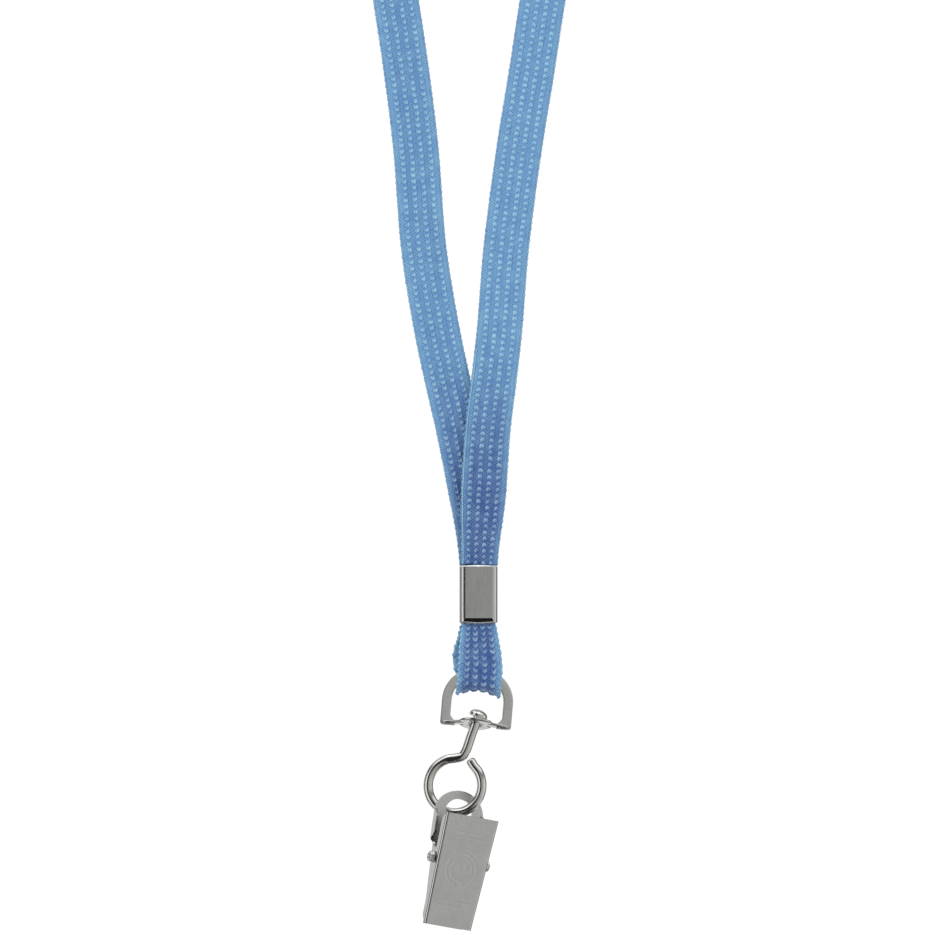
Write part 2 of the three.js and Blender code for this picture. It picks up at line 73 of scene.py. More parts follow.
# The strap's middle line: from the crimp up the right leg, round the nape and down the left leg.
STRAP_ROUTE = MM * np.array([
    (0.2, -100.8, -345.7), (0.5, -100.8, -339.5), (0.95, -100.8, -332.5), (1.95, -100.8, -317.6),
    (3.2, -100.8, -307.3), (4.35, -100.7, -297.1), (5.7, -100.5, -280.4), (8.4, -100.2, -259.7),
    (10.95, -99.9, -244), (13.6, -99.5, -227), (19, -98.5, -199), (27, -97, -168), (36, -94, -137),
    (44.5, -89.5, -106), (51, -81, -74), (54.5, -68, -45), (54.5, -51, -23), (48.5, -32, -9),
    (34, -13, -2), (0, 0, 0), (-34, -13, -2), (-48.5, -32, -9), (-54.5, -51, -23), (-54.5, -68, -45),
    (-51, -81, -74), (-44.5, -89.5, -106), (-37, -94, -137), (-29, -96.5, -168), (-22.2, -97.5, -199),
    (-17.4, -98, -227), (-14.85, -98.2, -244), (-12.95, -98.4, -259.7), (-11.3, -98.6, -280.4),
    (-8.6, -98.8, -297.1), (-6.45, -99, -307.3), (-4.1, -99.2, -317.6), (-1.25, -99.2, -332.5),
    (-0.5, -99.2, -339.5), (-0.2, -99.2, -345.7),
])


def linear(code):
    """An sRGB hex colour as three linear numbers."""
    v = np.array([int(code[i:i + 2], 16) for i in (1, 3, 5)]) / 255
    return tuple(np.where(v <= 0.04045, v / 12.92, ((v + 0.055) / 1.055) ** 2.4).tolist())


# ---------- sizes and colours ----------


def length(name, text, value):
    """A length property, in metres, from its value in millimetres."""
    return bpy.props.FloatProperty(name=name, description=text, default=value * MM, subtype="DISTANCE",
                                   unit="LENGTH", precision=5)


def colour(name, text, code):
    """A colour property from an sRGB hex value."""
    return bpy.props.FloatVectorProperty(name=name, description=text, default=linear(code), subtype="COLOR",
                                         size=3, min=0, max=1)


class LanyardSizes(bpy.types.PropertyGroup):
    strap_width: length("Strap width", "Width of the flat strap over its knit", 9.2)
    strap_body: length("Strap body", "Thickness of the strap under its raised stitches", 0.8)
    stitch_pitch: length("Stitch pitch", "Distance from one row of stitches to the next", 1.27)
    wales: bpy.props.IntProperty(name="Wales", description="Columns of stitches round the strap", default=10,
                                 min=6)
    stitch_height: length("Stitch height", "How far a stitch stands out of the strap", 0.34)
    sheet: length("Sheet", "Thickness of the crimp's and the clip's sheet metal", 0.5)
    wire: length("Hook wire", "Diameter of the hook's wire", 1.95)
    head: length("Hook head", "Diameter of the hook's head", 3.8)
    pin: length("Pin", "Diameter of the clip's hinge pin", 1.4)
    pin_head: length("Pin head", "Diameter of the pin's heads", 2.4)
    spring_wire: length("Spring wire", "Diameter of the clip's spring wire", 0.45)


class LanyardColours(bpy.types.PropertyGroup):
    # The strap's tones are painted light and shade: the tops of stitches are a painted highlight, and the
    # strap is painted deep near the crimp, as painted shade, and pale higher up and at its edges, as painted
    # light.
    yarn_light: colour("Yarn, light", "Top of a stitch where the strap is faded", "#91C1D9")
    yarn_mid: colour("Yarn, between", "Between the stitches where the strap is faded", "#6594C5")
    yarn_deep_light: colour("Yarn, deep light", "Top of a stitch near the crimp", "#87AAC6")
    yarn_deep: colour("Yarn, deep", "Between the stitches near the crimp", "#375697")
    nickel: colour("Satin nickel", "Nickel plate on pressed sheet", "#CACAC7")
    bright: colour("Bright nickel", "Nickel plate on bent wire", "#D4D2CE")
    steel: colour("Spring steel", "Bare spring wire", "#9B9A97")


# ---------- mesh tools ----------


def unit(v):
    """Vectors at length one."""
    return v / np.linalg.norm(v, axis=-1, keepdims=True)


def turn(roll=0, pitch=0, yaw=0):
    """A rotation matrix: yaw about Z, then pitch about X, then roll about Y, in degrees."""
    r, p, y = np.radians([roll, pitch, yaw])
    about_y = np.array([[np.cos(r), 0, np.sin(r)], [0, 1, 0], [-np.sin(r), 0, np.cos(r)]])
    about_x = np.array([[1, 0, 0], [0, np.cos(p), -np.sin(p)], [0, np.sin(p), np.cos(p)]])
    about_z = np.array([[np.cos(y), -np.sin(y), 0], [np.sin(y), np.cos(y), 0], [0, 0, 1]])
    return about_y @ about_x @ about_z


def grid_faces(rows, columns, wrap_rows=False, wrap_columns=False, start=0):
    """Four corner indices of each cell of a grid of rows by columns, which may close on itself either way."""
    i = np.arange(rows if wrap_rows else rows - 1)[:, None]
    j = np.arange(columns if wrap_columns else columns - 1)[None, :]
    a, b = i * columns, (i + 1) % rows * columns
    c, d = j, (j + 1) % columns
    return start + np.stack([a + c, a + d, b + d, b + c], -1).reshape(-1, 4)


def tube(rings):
    """A closed tube: each ring is closed, and each end is a fan about the ring's middle."""
    n, m = rings.shape[:2]
    points = np.concatenate([rings.reshape(-1, 3), rings[:1].mean(1), rings[-1:].mean(1)])
    j = np.arange(m)
    first = np.stack([(j + 1) % m, j, np.full(m, n * m)], -1)
    last = np.stack([(n - 1) * m + j, (n - 1) * m + (j + 1) % m, np.full(m, n * m + 1)], -1)
    return points, [grid_faces(n, m, wrap_columns=True), first, last]


def joined(parts):
    """Several (points, faces) as one."""
    points, faces, base = [], [], 0
    for p, fs in parts:
        points.append(p)
        faces += [f + base for f in fs]
        base += len(p)
    return np.concatenate(points), faces


def add_mesh(name, points, faces, material, body, slot, replaces=(), attributes=None, merge=0.0):
    """A smooth piece from points in metres and arrays of face corners, riding on a body if one is given."""
    mesh = bpy.data.meshes.new(name)
    counts = np.concatenate([np.full(len(f), f.shape[1]) for f in faces])
    corners = np.concatenate([f.reshape(-1) for f in faces])
    mesh.vertices.add(len(points))
    mesh.vertices.foreach_set("co", points.astype(np.float32).reshape(-1))
    mesh.loops.add(len(corners))
    mesh.loops.foreach_set("vertex_index", corners.astype(np.int32))
    mesh.polygons.add(len(counts))
    mesh.polygons.foreach_set("loop_start", (np.cumsum(counts) - counts).astype(np.int32))
    mesh.polygons.foreach_set("use_smooth", np.ones(len(counts), bool))
    mesh.update(calc_edges=True)
    for key, values in (attributes or {}).items():
        mesh.attributes.new(key, "FLOAT", "POINT").data.foreach_set("value", values.astype(np.float32))
    if mesh.validate():
        raise RuntimeError(f"{name} has broken faces")
    work = bmesh.new()
    work.from_mesh(mesh)
    if merge:
        bmesh.ops.remove_doubles(work, verts=work.verts, dist=merge)
    bmesh.ops.recalc_face_normals(work, faces=work.faces)
    work.to_mesh(mesh)
    work.free()
    mesh.materials.append(material)
    piece = bpy.data.objects.new(name, mesh)
    bpy.context.scene.collection.objects.link(piece)
    if body:
        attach(piece, body)
    if replaces:
        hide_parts(*replaces)
    return piece


def soften(piece, width, segments=2, angle=40):
    """Rounds a piece's sharp edges with a bevel."""
    bevel = piece.modifiers.new("Edge", "BEVEL")
    bevel.width, bevel.segments, bevel.limit_method = width, segments, "ANGLE"
    bevel.angle_limit = math.radians(angle)
    bevel.harden_normals = True
    return piece


def smooth_curve(points, step):
    """A centripetal Catmull-Rom curve through points, at even steps: each span is a cubic whose end slopes
    come from the square roots of the distances between its points. Returns its points and its length."""
    p = np.concatenate([2 * points[:1] - points[1:2], points, 2 * points[-1:] - points[-2:-1]])
    gap = np.sqrt(np.linalg.norm(np.diff(p, axis=0), axis=1))[:, None]
    before, here, after = gap[:-2], gap[1:-1], gap[2:]
    d0, d1, d2 = p[1:-2] - p[:-3], p[2:-1] - p[1:-2], p[3:] - p[2:-1]
    out = here * (d0 / before - (d0 + d1) / (before + here) + d1 / here)
    into = here * (d1 / here - (d1 + d2) / (here + after) + d2 / after)
    t = np.linspace(0, 1, 40, endpoint=False)[None, :, None]
    a, b = p[1:-2, None], p[2:-1, None]
    span = (a + out[:, None] * t + (3 * (b - a) - 2 * out[:, None] - into[:, None]) * t**2
            + (2 * (a - b) + out[:, None] + into[:, None]) * t**3)
    fine = np.concatenate([span.reshape(-1, 3), p[-2:-1]])
    run = np.concatenate([[0], np.cumsum(np.linalg.norm(np.diff(fine, axis=0), axis=1))])
    at = np.linspace(0, run[-1], max(2, round(run[-1] / step) + 1))
    return np.stack([np.interp(at, run, fine[:, k]) for k in range(3)], -1), run[-1]


def round_wire(line, diameter, sides, cap=4):
    """A round wire along a line, with domed ends: circles in the planes square to the line, whose side
    direction is carried along without twist."""
    tangent = unit(np.gradient(line, axis=0))
    side = np.zeros_like(line)
    side[0] = unit(np.cross(tangent[0], [0.3, 1, 0.2]))
    for k in range(1, len(line)):
        side[k] = side[k - 1] - tangent[k] * (side[k - 1] @ tangent[k])
        side[k] /= np.linalg.norm(side[k])
    up = np.cross(tangent, side)
    angle = np.linspace(0, 2 * np.pi, sides, endpoint=False)
    circle = np.cos(angle)[:, None] * side[:, None] + np.sin(angle)[:, None] * up[:, None]
    radius = diameter / 2
    rings = line[:, None] + radius * circle
    dome = np.linspace(0, np.pi / 2, cap + 1)[1:-1]
    bulge, shrink = 0.25 * diameter * np.sin(dome), np.cos(dome) ** 0.6
    first = line[0] - tangent[0] * bulge[::-1, None, None] + radius * shrink[::-1, None, None] * circle[0]
    last = line[-1] + tangent[-1] * bulge[:, None, None] + radius * shrink[:, None, None] * circle[-1]
    return tube(np.concatenate([first, rings, last]))


def lathe(profile, sides=48):
    """A solid of revolution about Z from (radius, height) pairs that start and end near the axis."""
    r, z = np.array(profile, float).T
    angle = np.linspace(0, 2 * np.pi, sides, endpoint=False)
    height = np.broadcast_to(z[:, None], (len(z), sides))
    return tube(np.stack([r[:, None] * np.cos(angle), r[:, None] * np.sin(angle), height], -1))


def moved(part, rotation=np.eye(3), place=(0, 0, 0)):
    """A part turned and then moved."""
    return part[0] @ np.asarray(rotation).T + np.asarray(place), part[1]


def block(low, high):
    """A box between two corners."""
    corner = np.array([(x, y, z) for z in (low[2], high[2]) for x, y in
                       ((low[0], low[1]), (high[0], low[1]), (high[0], high[1]), (low[0], high[1]))], float)
    sides = [(k, (k + 1) % 4, (k + 1) % 4 + 4, k + 4) for k in range(4)]
    return corner, [np.array([(3, 2, 1, 0), (4, 5, 6, 7), *sides])]


# ---------- materials ----------


def node(tree, kind, inputs=(), out=0, stops=(), **settings):
    """Adds a shader node. Each input, by name or number, is linked to a socket or set to a value, and stops
    are the places and colours of a colour ramp. Returns the output asked for, if the node has any."""
    made = tree.nodes.new("ShaderNode" + kind)
    for key, value in settings.items():
        setattr(made, key, value)
    for key, value in dict(inputs).items():
        if isinstance(value, bpy.types.NodeSocket):
            tree.links.new(value, made.inputs[key])
        else:
            made.inputs[key].default_value = value
    if stops:
        elements = made.color_ramp.elements
        elements[0].position, elements[0].color = stops[0]
        elements[1].position, elements[1].color = stops[-1]
        for place, value in stops[1:-1]:
            elements.new(place).color = value
    return made.outputs[out] if made.outputs else made


def opaque(shade, share=1.0):
    """A grey, or a share of a colour, as four numbers."""
    shade = [shade] * 3 if isinstance(shade, (int, float)) else shade
    return (*(share * v for v in shade), 1)


def knitted_polyester(tree, c):
    """Tubular knit of bright polyester filament. The filament gives a soft silky sheen, and each stitch has a
    painted highlight on its crown and painted shade in its roots."""
    place = node(tree, "TexCoord", out="Object")
    crown, faded, course, wale = (node(tree, "Attribute", out="Fac", attribute_name=name)
                                  for name in ("crown", "faded", "course", "wale"))
    light, deep = (node(tree, "Mix", {0: faded, 6: opaque(low), 7: opaque(high)}, out=2, data_type="RGBA")
                   for low, high in ((c.yarn_deep_light, c.yarn_light), (c.yarn_deep, c.yarn_mid)))
    # Between the wales the ground is a lattice of slanting yarns, half a course long; the raised yarns are
    # painted lighter, as painted light, and are also raised by a bump.
    yarns = []
    for way in (-1, 1):
        run = node(tree, "Math", {0: course, 1: 2}, operation="MULTIPLY")
        phase = node(tree, "Math", {0: wale, 1: 2 * way, 2: run}, operation="MULTIPLY_ADD")
        wave = node(tree, "Math", {0: phase, 1: 2 * math.pi}, operation="MULTIPLY")
        yarns.append(node(tree, "Math", {0: wave}, operation="SINE"))
    lattice = node(tree, "Math", dict(enumerate(yarns)), operation="MAXIMUM")
    on_ground = node(tree, "Math", {0: course, 1: 0.0001}, operation="GREATER_THAN")
    raised = node(tree, "Math", {0: lattice, 1: on_ground}, operation="MULTIPLY")
    # Dye and filament tension vary from stitch to stitch, over about 2 mm.
    patches = node(tree, "TexNoise", {"Vector": place, "Scale": 500, "Detail": 2, "Roughness": 0.6})
    shade = node(tree, "MapRange", {"Value": patches, "From Min": 0.3, "From Max": 0.7, "To Min": -0.18,
                                    "To Max": 0.18})
    # The colour mixes from deep to light by painted light: the painted highlights of crowns and raised yarns,
    # plus the random patches.
    weave = node(tree, "Math", {0: raised, 1: 0.22, 2: crown}, operation="MULTIPLY_ADD")
    height = node(tree, "Math", {0: weave, 1: shade}, operation="ADD", use_clamp=True)
    tint = node(tree, "Mix", {0: height, 6: deep, 7: light}, out=2, data_type="RGBA")
    # Filaments of about 0.1 mm, drawn at 0.16 mm so that they show.
    fibre = node(tree, "TexNoise", {"Vector": place, "Scale": 6000, "Detail": 2, "Roughness": 0.7})
    laid = node(tree, "Bump", {"Height": raised, "Strength": 0.6, "Distance": 0.00012})
    bump = node(tree, "Bump", {"Height": fibre, "Normal": laid, "Strength": 0.35, "Distance": 0.00008})
    glint = node(tree, "MapRange", {"Value": fibre, "From Min": 0.3, "From Max": 0.7, "To Min": 0.6,
                                    "To Max": 1.2})
    tint = node(tree, "Mix", {0: 0.25, 6: tint, 7: glint}, out=2, data_type="RGBA", blend_type="MULTIPLY")
    return node(tree, "BsdfPrincipled", {"Base Color": tint, "Normal": bump, "Roughness": 0.62,
                                         "Sheen Weight": 0.35, "Sheen Roughness": 0.4,
                                         "Sheen Tint": (0.8, 0.9, 1, 1)})


def shadow_painted_yarn(tree):
    """Yarn packed under the crimp's lip, painted almost black as a painted shadow, since hardly any light
    gets in there, with a dull, matted grain."""
    place = node(tree, "TexCoord", out="Object")
    grain = node(tree, "TexNoise", {"Vector": place, "Scale": 3000, "Detail": 3, "Roughness": 0.65})
    tone = node(tree, "ValToRGB", {"Fac": grain}, stops=[(0.35, (0.002, 0.002, 0.003, 1)),
                                                         (0.7, (0.008, 0.009, 0.014, 1))])
    bump = node(tree, "Bump", {"Height": grain, "Strength": 0.6, "Distance": 0.0001})
    return node(tree, "BsdfPrincipled", {"Base Color": tone, "Normal": bump, "Roughness": 0.9})


def satin_sheet(tree, place, nickel, brush, patch, rough, deep, lined, grain, depth):
    """What pressed sheet shares: drawn lines, at brush lines a metre along each axis, and handled patches.
    rough and lined are the ranges of the roughness and of the lines' shade, deep is the patches' darkest
    share, grain how much the lines show and depth how deep they are. Returns roughness, colour and bump."""
    lines = node(tree, "Mapping", {"Vector": place, "Scale": brush})
    drawn = node(tree, "TexNoise", {"Vector": lines, "Scale": 1, "Detail": 3, "Roughness": 0.6})
    handled = node(tree, "TexNoise", {"Vector": place, "Scale": patch, "Detail": 3, "Roughness": 0.55})
    dull, streak = (node(tree, "MapRange", {"Value": noise, "From Min": 0.3, "From Max": 0.7, "To Min": low,
                                            "To Max": high}) for noise, (low, high) in ((handled, rough),
                                                                                        (drawn, lined)))
    tone = node(tree, "ValToRGB", {"Fac": handled}, stops=[(0.25, opaque(nickel, deep)),
                                                           (0.75, opaque(nickel))])
    tone = node(tree, "Mix", {0: grain, 6: tone, 7: streak}, out=2, data_type="RGBA", blend_type="MULTIPLY")
    return dull, tone, node(tree, "Bump", {"Height": drawn, "Strength": depth, "Distance": 0.00002})


def satin_nickel(tree, c, brush, rough, grain):
    """Nickel plate over pressed and barrel-finished sheet: a soft mirror with fine drawn lines, warm in tint,
    and a little duller in patches where it is handled."""
    place = node(tree, "TexCoord", out="Object")
    dull, tone, bump = satin_sheet(tree, place, c.nickel, brush, 260, (rough - 0.05, rough + 0.09), 0.9,
                                   (0.72, 1.1), grain, 0.22)
    return node(tree, "BsdfPrincipled", {"Base Color": tone, "Roughness": dull, "Normal": bump,
                                         "Metallic": 1.0})


def bright_nickel(tree, code, low, high):
    """Nickel plate over drawn wire: a clear mirror with rubbed, duller and darker patches, faintly bumped."""
    place = node(tree, "TexCoord", out="Object")
    rubbed = node(tree, "TexNoise", {"Vector": place, "Scale": 700, "Detail": 4, "Roughness": 0.6})
    dull = node(tree, "MapRange", {"Value": rubbed, "From Min": 0.35, "From Max": 0.7, "To Min": low,
                                   "To Max": high})
    bump = node(tree, "Bump", {"Height": rubbed, "Strength": 0.06, "Distance": 0.00003})
    tone = node(tree, "ValToRGB", {"Fac": rubbed}, stops=[(0.3, opaque(code)), (0.8, opaque(code, 0.86))])
    return node(tree, "BsdfPrincipled", {"Base Color": tone, "Roughness": dull, "Normal": bump,
                                         "Metallic": 1.0})


def material(name, shader, *args):
    """A material by name. The first time that it is asked for, shader builds its nodes in an empty tree."""
    made = bpy.data.materials.get(name)
    if not made:
        made = bpy.data.materials.new(name)
        made.use_nodes = True
        made.node_tree.nodes.clear()
        node(made.node_tree, "OutputMaterial", {"Surface": shader(made.node_tree, *args)})
    return made


# ---------- the knit ----------


def flat_section(width, thickness, around):
    """A flat tube's section, two straight faces joined by half circles, at shares of its outline from the
    middle of the right edge. Returns the place across, the place in depth, and the same of the normal."""
    straight = width - thickness
    outline = 2 * straight + np.pi * thickness
    q = around % 1 * outline
    front = q <= outline / 2
    q = np.where(front, q, outline - q)
    arc = np.pi * thickness / 4
    turn_right, turn_left = q < arc, q > arc + straight
    angle = np.where(turn_right, q, np.where(turn_left, q - straight, arc)) / (thickness / 2)
    middle = np.where(turn_right, straight / 2, np.where(turn_left, -straight / 2, straight / 2 - (q - arc)))
    up = np.where(front, 1, -1)
    na, nb = np.cos(angle), np.sin(angle) * up
    return middle + thickness / 2 * na, thickness / 2 * nb, na, nb


def stitch_shape():
    """One leg of a stitch: a closed drop along X, wider and higher at its front end, made of rings whose
    radius follows the root of a half circle. Returns its points, faces and a painted highlight: the share of
    its height, lighter towards its front end."""
    x = np.array([-0.78, -0.35, 0.2, 0.72])
    radius = np.array([0.55, 0.86, 1, 0.7])
    angle = np.linspace(0, 2 * np.pi, 6, endpoint=False) + np.pi / 6
    rings = np.stack([np.broadcast_to(x[:, None], (4, 6)), radius[:, None] * np.cos(angle),
                      radius[:, None] * np.sin(angle)], -1)
    points, faces = tube(rings)
    points[-2], points[-1] = (-1, 0, 0), (1, 0, 0)
    return points, faces, np.clip(0.5 + 0.5 * points[:, 2], 0, 1) * (0.75 + 0.35 * points[:, 0])


def knit(line, face, width, body, s, faded, spread=0.1, leg_half=(0.52, 0.4), lean=24, edge_painted_light=0.6,
         edge_leg=0.55, curl=0.0):
    """A knitted flat tube along a line: its plain body, and the raised legs of its stitches, two to a stitch,
    set in a V on every wale. Width, body and the strap's painted paleness are arrays along the line: pale,
    as painted light, where high, and deep, as painted shade, where low. Spread is the share of a wale
    between a leg and the wale's middle, leg_half a leg's half length and half width in mm, lean its slant in
    degrees, the edges' painted light how much paler the edges are painted, edge_leg how high the edges'
    stitches stand beside the others, and curl how far the edges bow out, as the square of the distance from
    the middle line.
    Returns the body, its attributes, the legs, their attributes and the places of the rows."""
    tangent = unit(np.gradient(line, axis=0))
    face = unit(face - tangent * (face * tangent).sum(-1, keepdims=True))
    side = np.cross(face, tangent)
    run = np.concatenate([[0], np.cumsum(np.linalg.norm(np.diff(line, axis=0), axis=1))])
    around = np.linspace(0, 1, 4 * s.wales, endpoint=False)
    a, b, na, nb = flat_section(width[:, None], body[:, None], around[None])
    groove = 0.06 * MM * np.cos(2 * np.pi * s.wales * around)[None]
    ripple = 0.03 * MM * np.cos(2 * np.pi * run[:, None] / s.stitch_pitch)
    bow = curl + 0 * width
    a, b = a + (groove + ripple) * na, b + (groove + ripple) * nb
    b = b + (bow / (width / 2) ** 2)[:, None] * a**2
    rings = line[:, None] + a[..., None] * side[:, None] + b[..., None] * face[:, None]
    plain = tube(rings)
    # The yarns at both edges are painted paler, as painted light. The ground's pattern is laid out from the
    # right edge on both faces.
    pale = lambda place: edge_painted_light * step_to(np.abs(place), 0.3, 0.5)
    ends = lambda v: np.concatenate([v.reshape(-1), v[0, :1], v[-1, :1]])
    edge = pale(a / width[:, None])
    from_edge = np.minimum(around, 1 - around)[None] * s.wales + 0 * a
    # The ground's edges get a painted highlight too, as painted light.
    ground = {"faded": ends(np.clip(faded[:, None] + edge, 0, 1.3)), "crown": ends(0 * a + 0.3 * edge),
              "wale": ends(from_edge), "course": ends(run[:, None] / s.stitch_pitch + 0 * a)}
    # The stitches.
    shape, faces, crown = stitch_shape()
    at = np.arange(0.35 * s.stitch_pitch, run[-1] - 0.3 * s.stitch_pitch, s.stitch_pitch)
    here = lambda v: np.stack([np.interp(at, run, v[:, k]) for k in range(3)], -1)[:, None, None]
    p, t, f, sd = here(line), unit(here(tangent)), unit(here(face)), unit(here(side))
    w = np.interp(at, run, width)[:, None, None]
    d = np.interp(at, run, body)[:, None, None]
    wale = np.arange(s.wales)[None, :, None]
    leg = np.array([-1, 1])[None, None, :]
    share = (wale + spread * leg) / s.wales
    a, b, na, nb = (v[..., None] for v in flat_section(w, d, share + 0 * w))
    b = b + np.interp(at, run, bow)[:, None, None, None] * (a / (w[..., None] / 2)) ** 2
    normal = na * sd + nb * f
    across = np.cross(normal, t + 0 * normal)
    rng = np.random.default_rng(7)
    wobble = rng.normal(0, 1, (5, *normal.shape[:3], 1))
    slant = np.radians(lean) * leg[..., None] + np.radians(6) * wobble[0]
    front = np.cos(slant) * t + np.sin(slant) * across
    sideways = np.cross(normal, front)
    grow = w[..., None] / s.strap_width
    at_edge = (wale % (s.wales // 2) == 0)[..., None]
    half = np.array([*leg_half, 1]) * MM
    centre = (p + a * sd + b * f + 0.04 * MM * wobble[1] * t + 0.03 * MM * wobble[2] * across
              + 0.02 * MM * wobble[3] * normal)
    high = s.stitch_height * (1 + 0.1 * wobble[4]) * np.where(at_edge, edge_leg, 1)
    slim = np.where(at_edge, 0.4 + 0.7 * edge_leg, 1)
    basis = np.stack([front * half[0] * slim, sideways * half[1] * grow * slim, normal * high], -1)
    points = centre[..., None, :] + np.einsum("...ij,kj->...ki", basis, shape)
    count = int(np.prod(points.shape[:3]))
    offset = np.arange(count)[:, None, None] * len(shape)
    stitched = points.reshape(-1, 3), [(fc[None] + offset).reshape(-1, fc.shape[1]) for fc in faces]
    # One leg of each stitch is painted lighter than the other, a painted highlight against painted shade.
    painted_leg_light = np.broadcast_to(np.where(leg < 0, 0.1, -0.12)[..., None], wobble[0].shape)
    tone = np.clip(crown + (painted_leg_light + 0.14 * wobble[0]).reshape(-1, 1), 0, 1).reshape(-1)
    # Each stitch takes the strap's painted paleness, and the edges' painted light.
    painted_pale_at = np.interp(at, run, faded)[:, None, None] + pale(a[..., 0] / w)
    each = lambda v: np.repeat(np.broadcast_to(v, points.shape[:3]).reshape(-1), len(shape))
    legs = {"crown": tone, "faded": each(painted_pale_at), "wale": each(0 * painted_pale_at), "course": each(0 * painted_pale_at)}
    return plain, ground, stitched, legs, at


def strap_face(line):
    """The way the strap's face looks: away from the neck, forwards low down, outwards and up on the
    shoulders."""
    share = np.clip((line[:, 2] / MM + 230) / 170, 0, 1)
    high = (share**2 * (3 - 2 * share))[:, None]
    x, y = line[:, :1] / MM, line[:, 1:2] / MM
    return np.concatenate([high * x, y + 50, 25 * high], -1)


def step_to(value, low, high):
    """0 below low, 1 above high, and a smooth step between them."""
    share = np.clip((value - low) / (high - low), 0, 1)
    return share**2 * (3 - 2 * share)


class LANYARD_OT_neck_strap(bpy.types.Operator):
    """Knits the long loop of strap, from the crimp round the neck and back"""

    bl_idname = "lanyard.neck_strap"
    bl_label = "Neck strap"

    def execute(self, context):
        s, c = context.scene.lanyard_sizes, context.scene.lanyard_colours
        yarn = material("Knitted polyester", knitted_polyester, c)
        line, run = smooth_curve(STRAP_ROUTE, 0.6 * MM)
        z = line[:, 2] / MM
        width = s.strap_width * (0.79 + 0.21 * step_to(z, -347, -329))
        body = np.full(len(line), s.strap_body)
        # The strap is painted deep near the crimp, as painted shade, and pale higher up, as painted light;
        # the left leg is painted a little deeper, as painted shade.
        faded = step_to(z, -338, -292) * (1 - 0.15 * step_to(-line[:, 0] / MM, 0, 15))
        plain, ground, stitched, legs, at = knit(line, strap_face(line), width, body, s, faded)
        strap = add_mesh("neck_strap_body", *plain, yarn, "strap", "polyester_knit", ["neck_strap"], ground)
        # The stitches are four pieces, so that each stays light.
        points, faces = stitched
        cells = len(at) * s.wales * 2
        size = len(points) // cells
        for k in range(4):
            low, high = (len(at) * i // 4 * 2 * s.wales for i in (k, k + 1))
            part = [f.reshape(cells, -1, f.shape[1])[low:high].reshape(-1, f.shape[1]) - low * size
                    for f in faces]
            rows = slice(low * size, high * size)
            add_mesh(f"neck_strap_stitches_{k + 1}", points[rows], part, yarn, "strap",
                                   "polyester_knit", (), {key: v[rows] for key, v in legs.items()})
        # A loose yarn runs up the outer fold of the front leg, painted pale, as painted light.
        part = (z < -301) & (line[:, 0] > -0.1 * MM)
        tangent = unit(np.gradient(line, axis=0))
        face = unit(strap_face(line))
        side = unit(np.cross(face, tangent))
        rng = np.random.default_rng(3)
        drift = np.cumsum(rng.normal(0, 0.012, len(line))) * MM
        fold = (line + side * (width / 2 - 0.25 * MM + 0.3 * drift)[:, None]
                + face * (s.strap_body / 2 + 0.06 * MM))
        yarn_line = round_wire(fold[part], 0.24 * MM, 8)
        light = np.ones(len(yarn_line[0]))
        add_mesh("neck_strap_fold_yarn", *yarn_line, yarn, "strap", "polyester_knit", (),
                               {"crown": 0.8 * light, "faded": 0.8 * light, "wale": 0 * light,
                                "course": 0 * light})
        return {"FINISHED"}


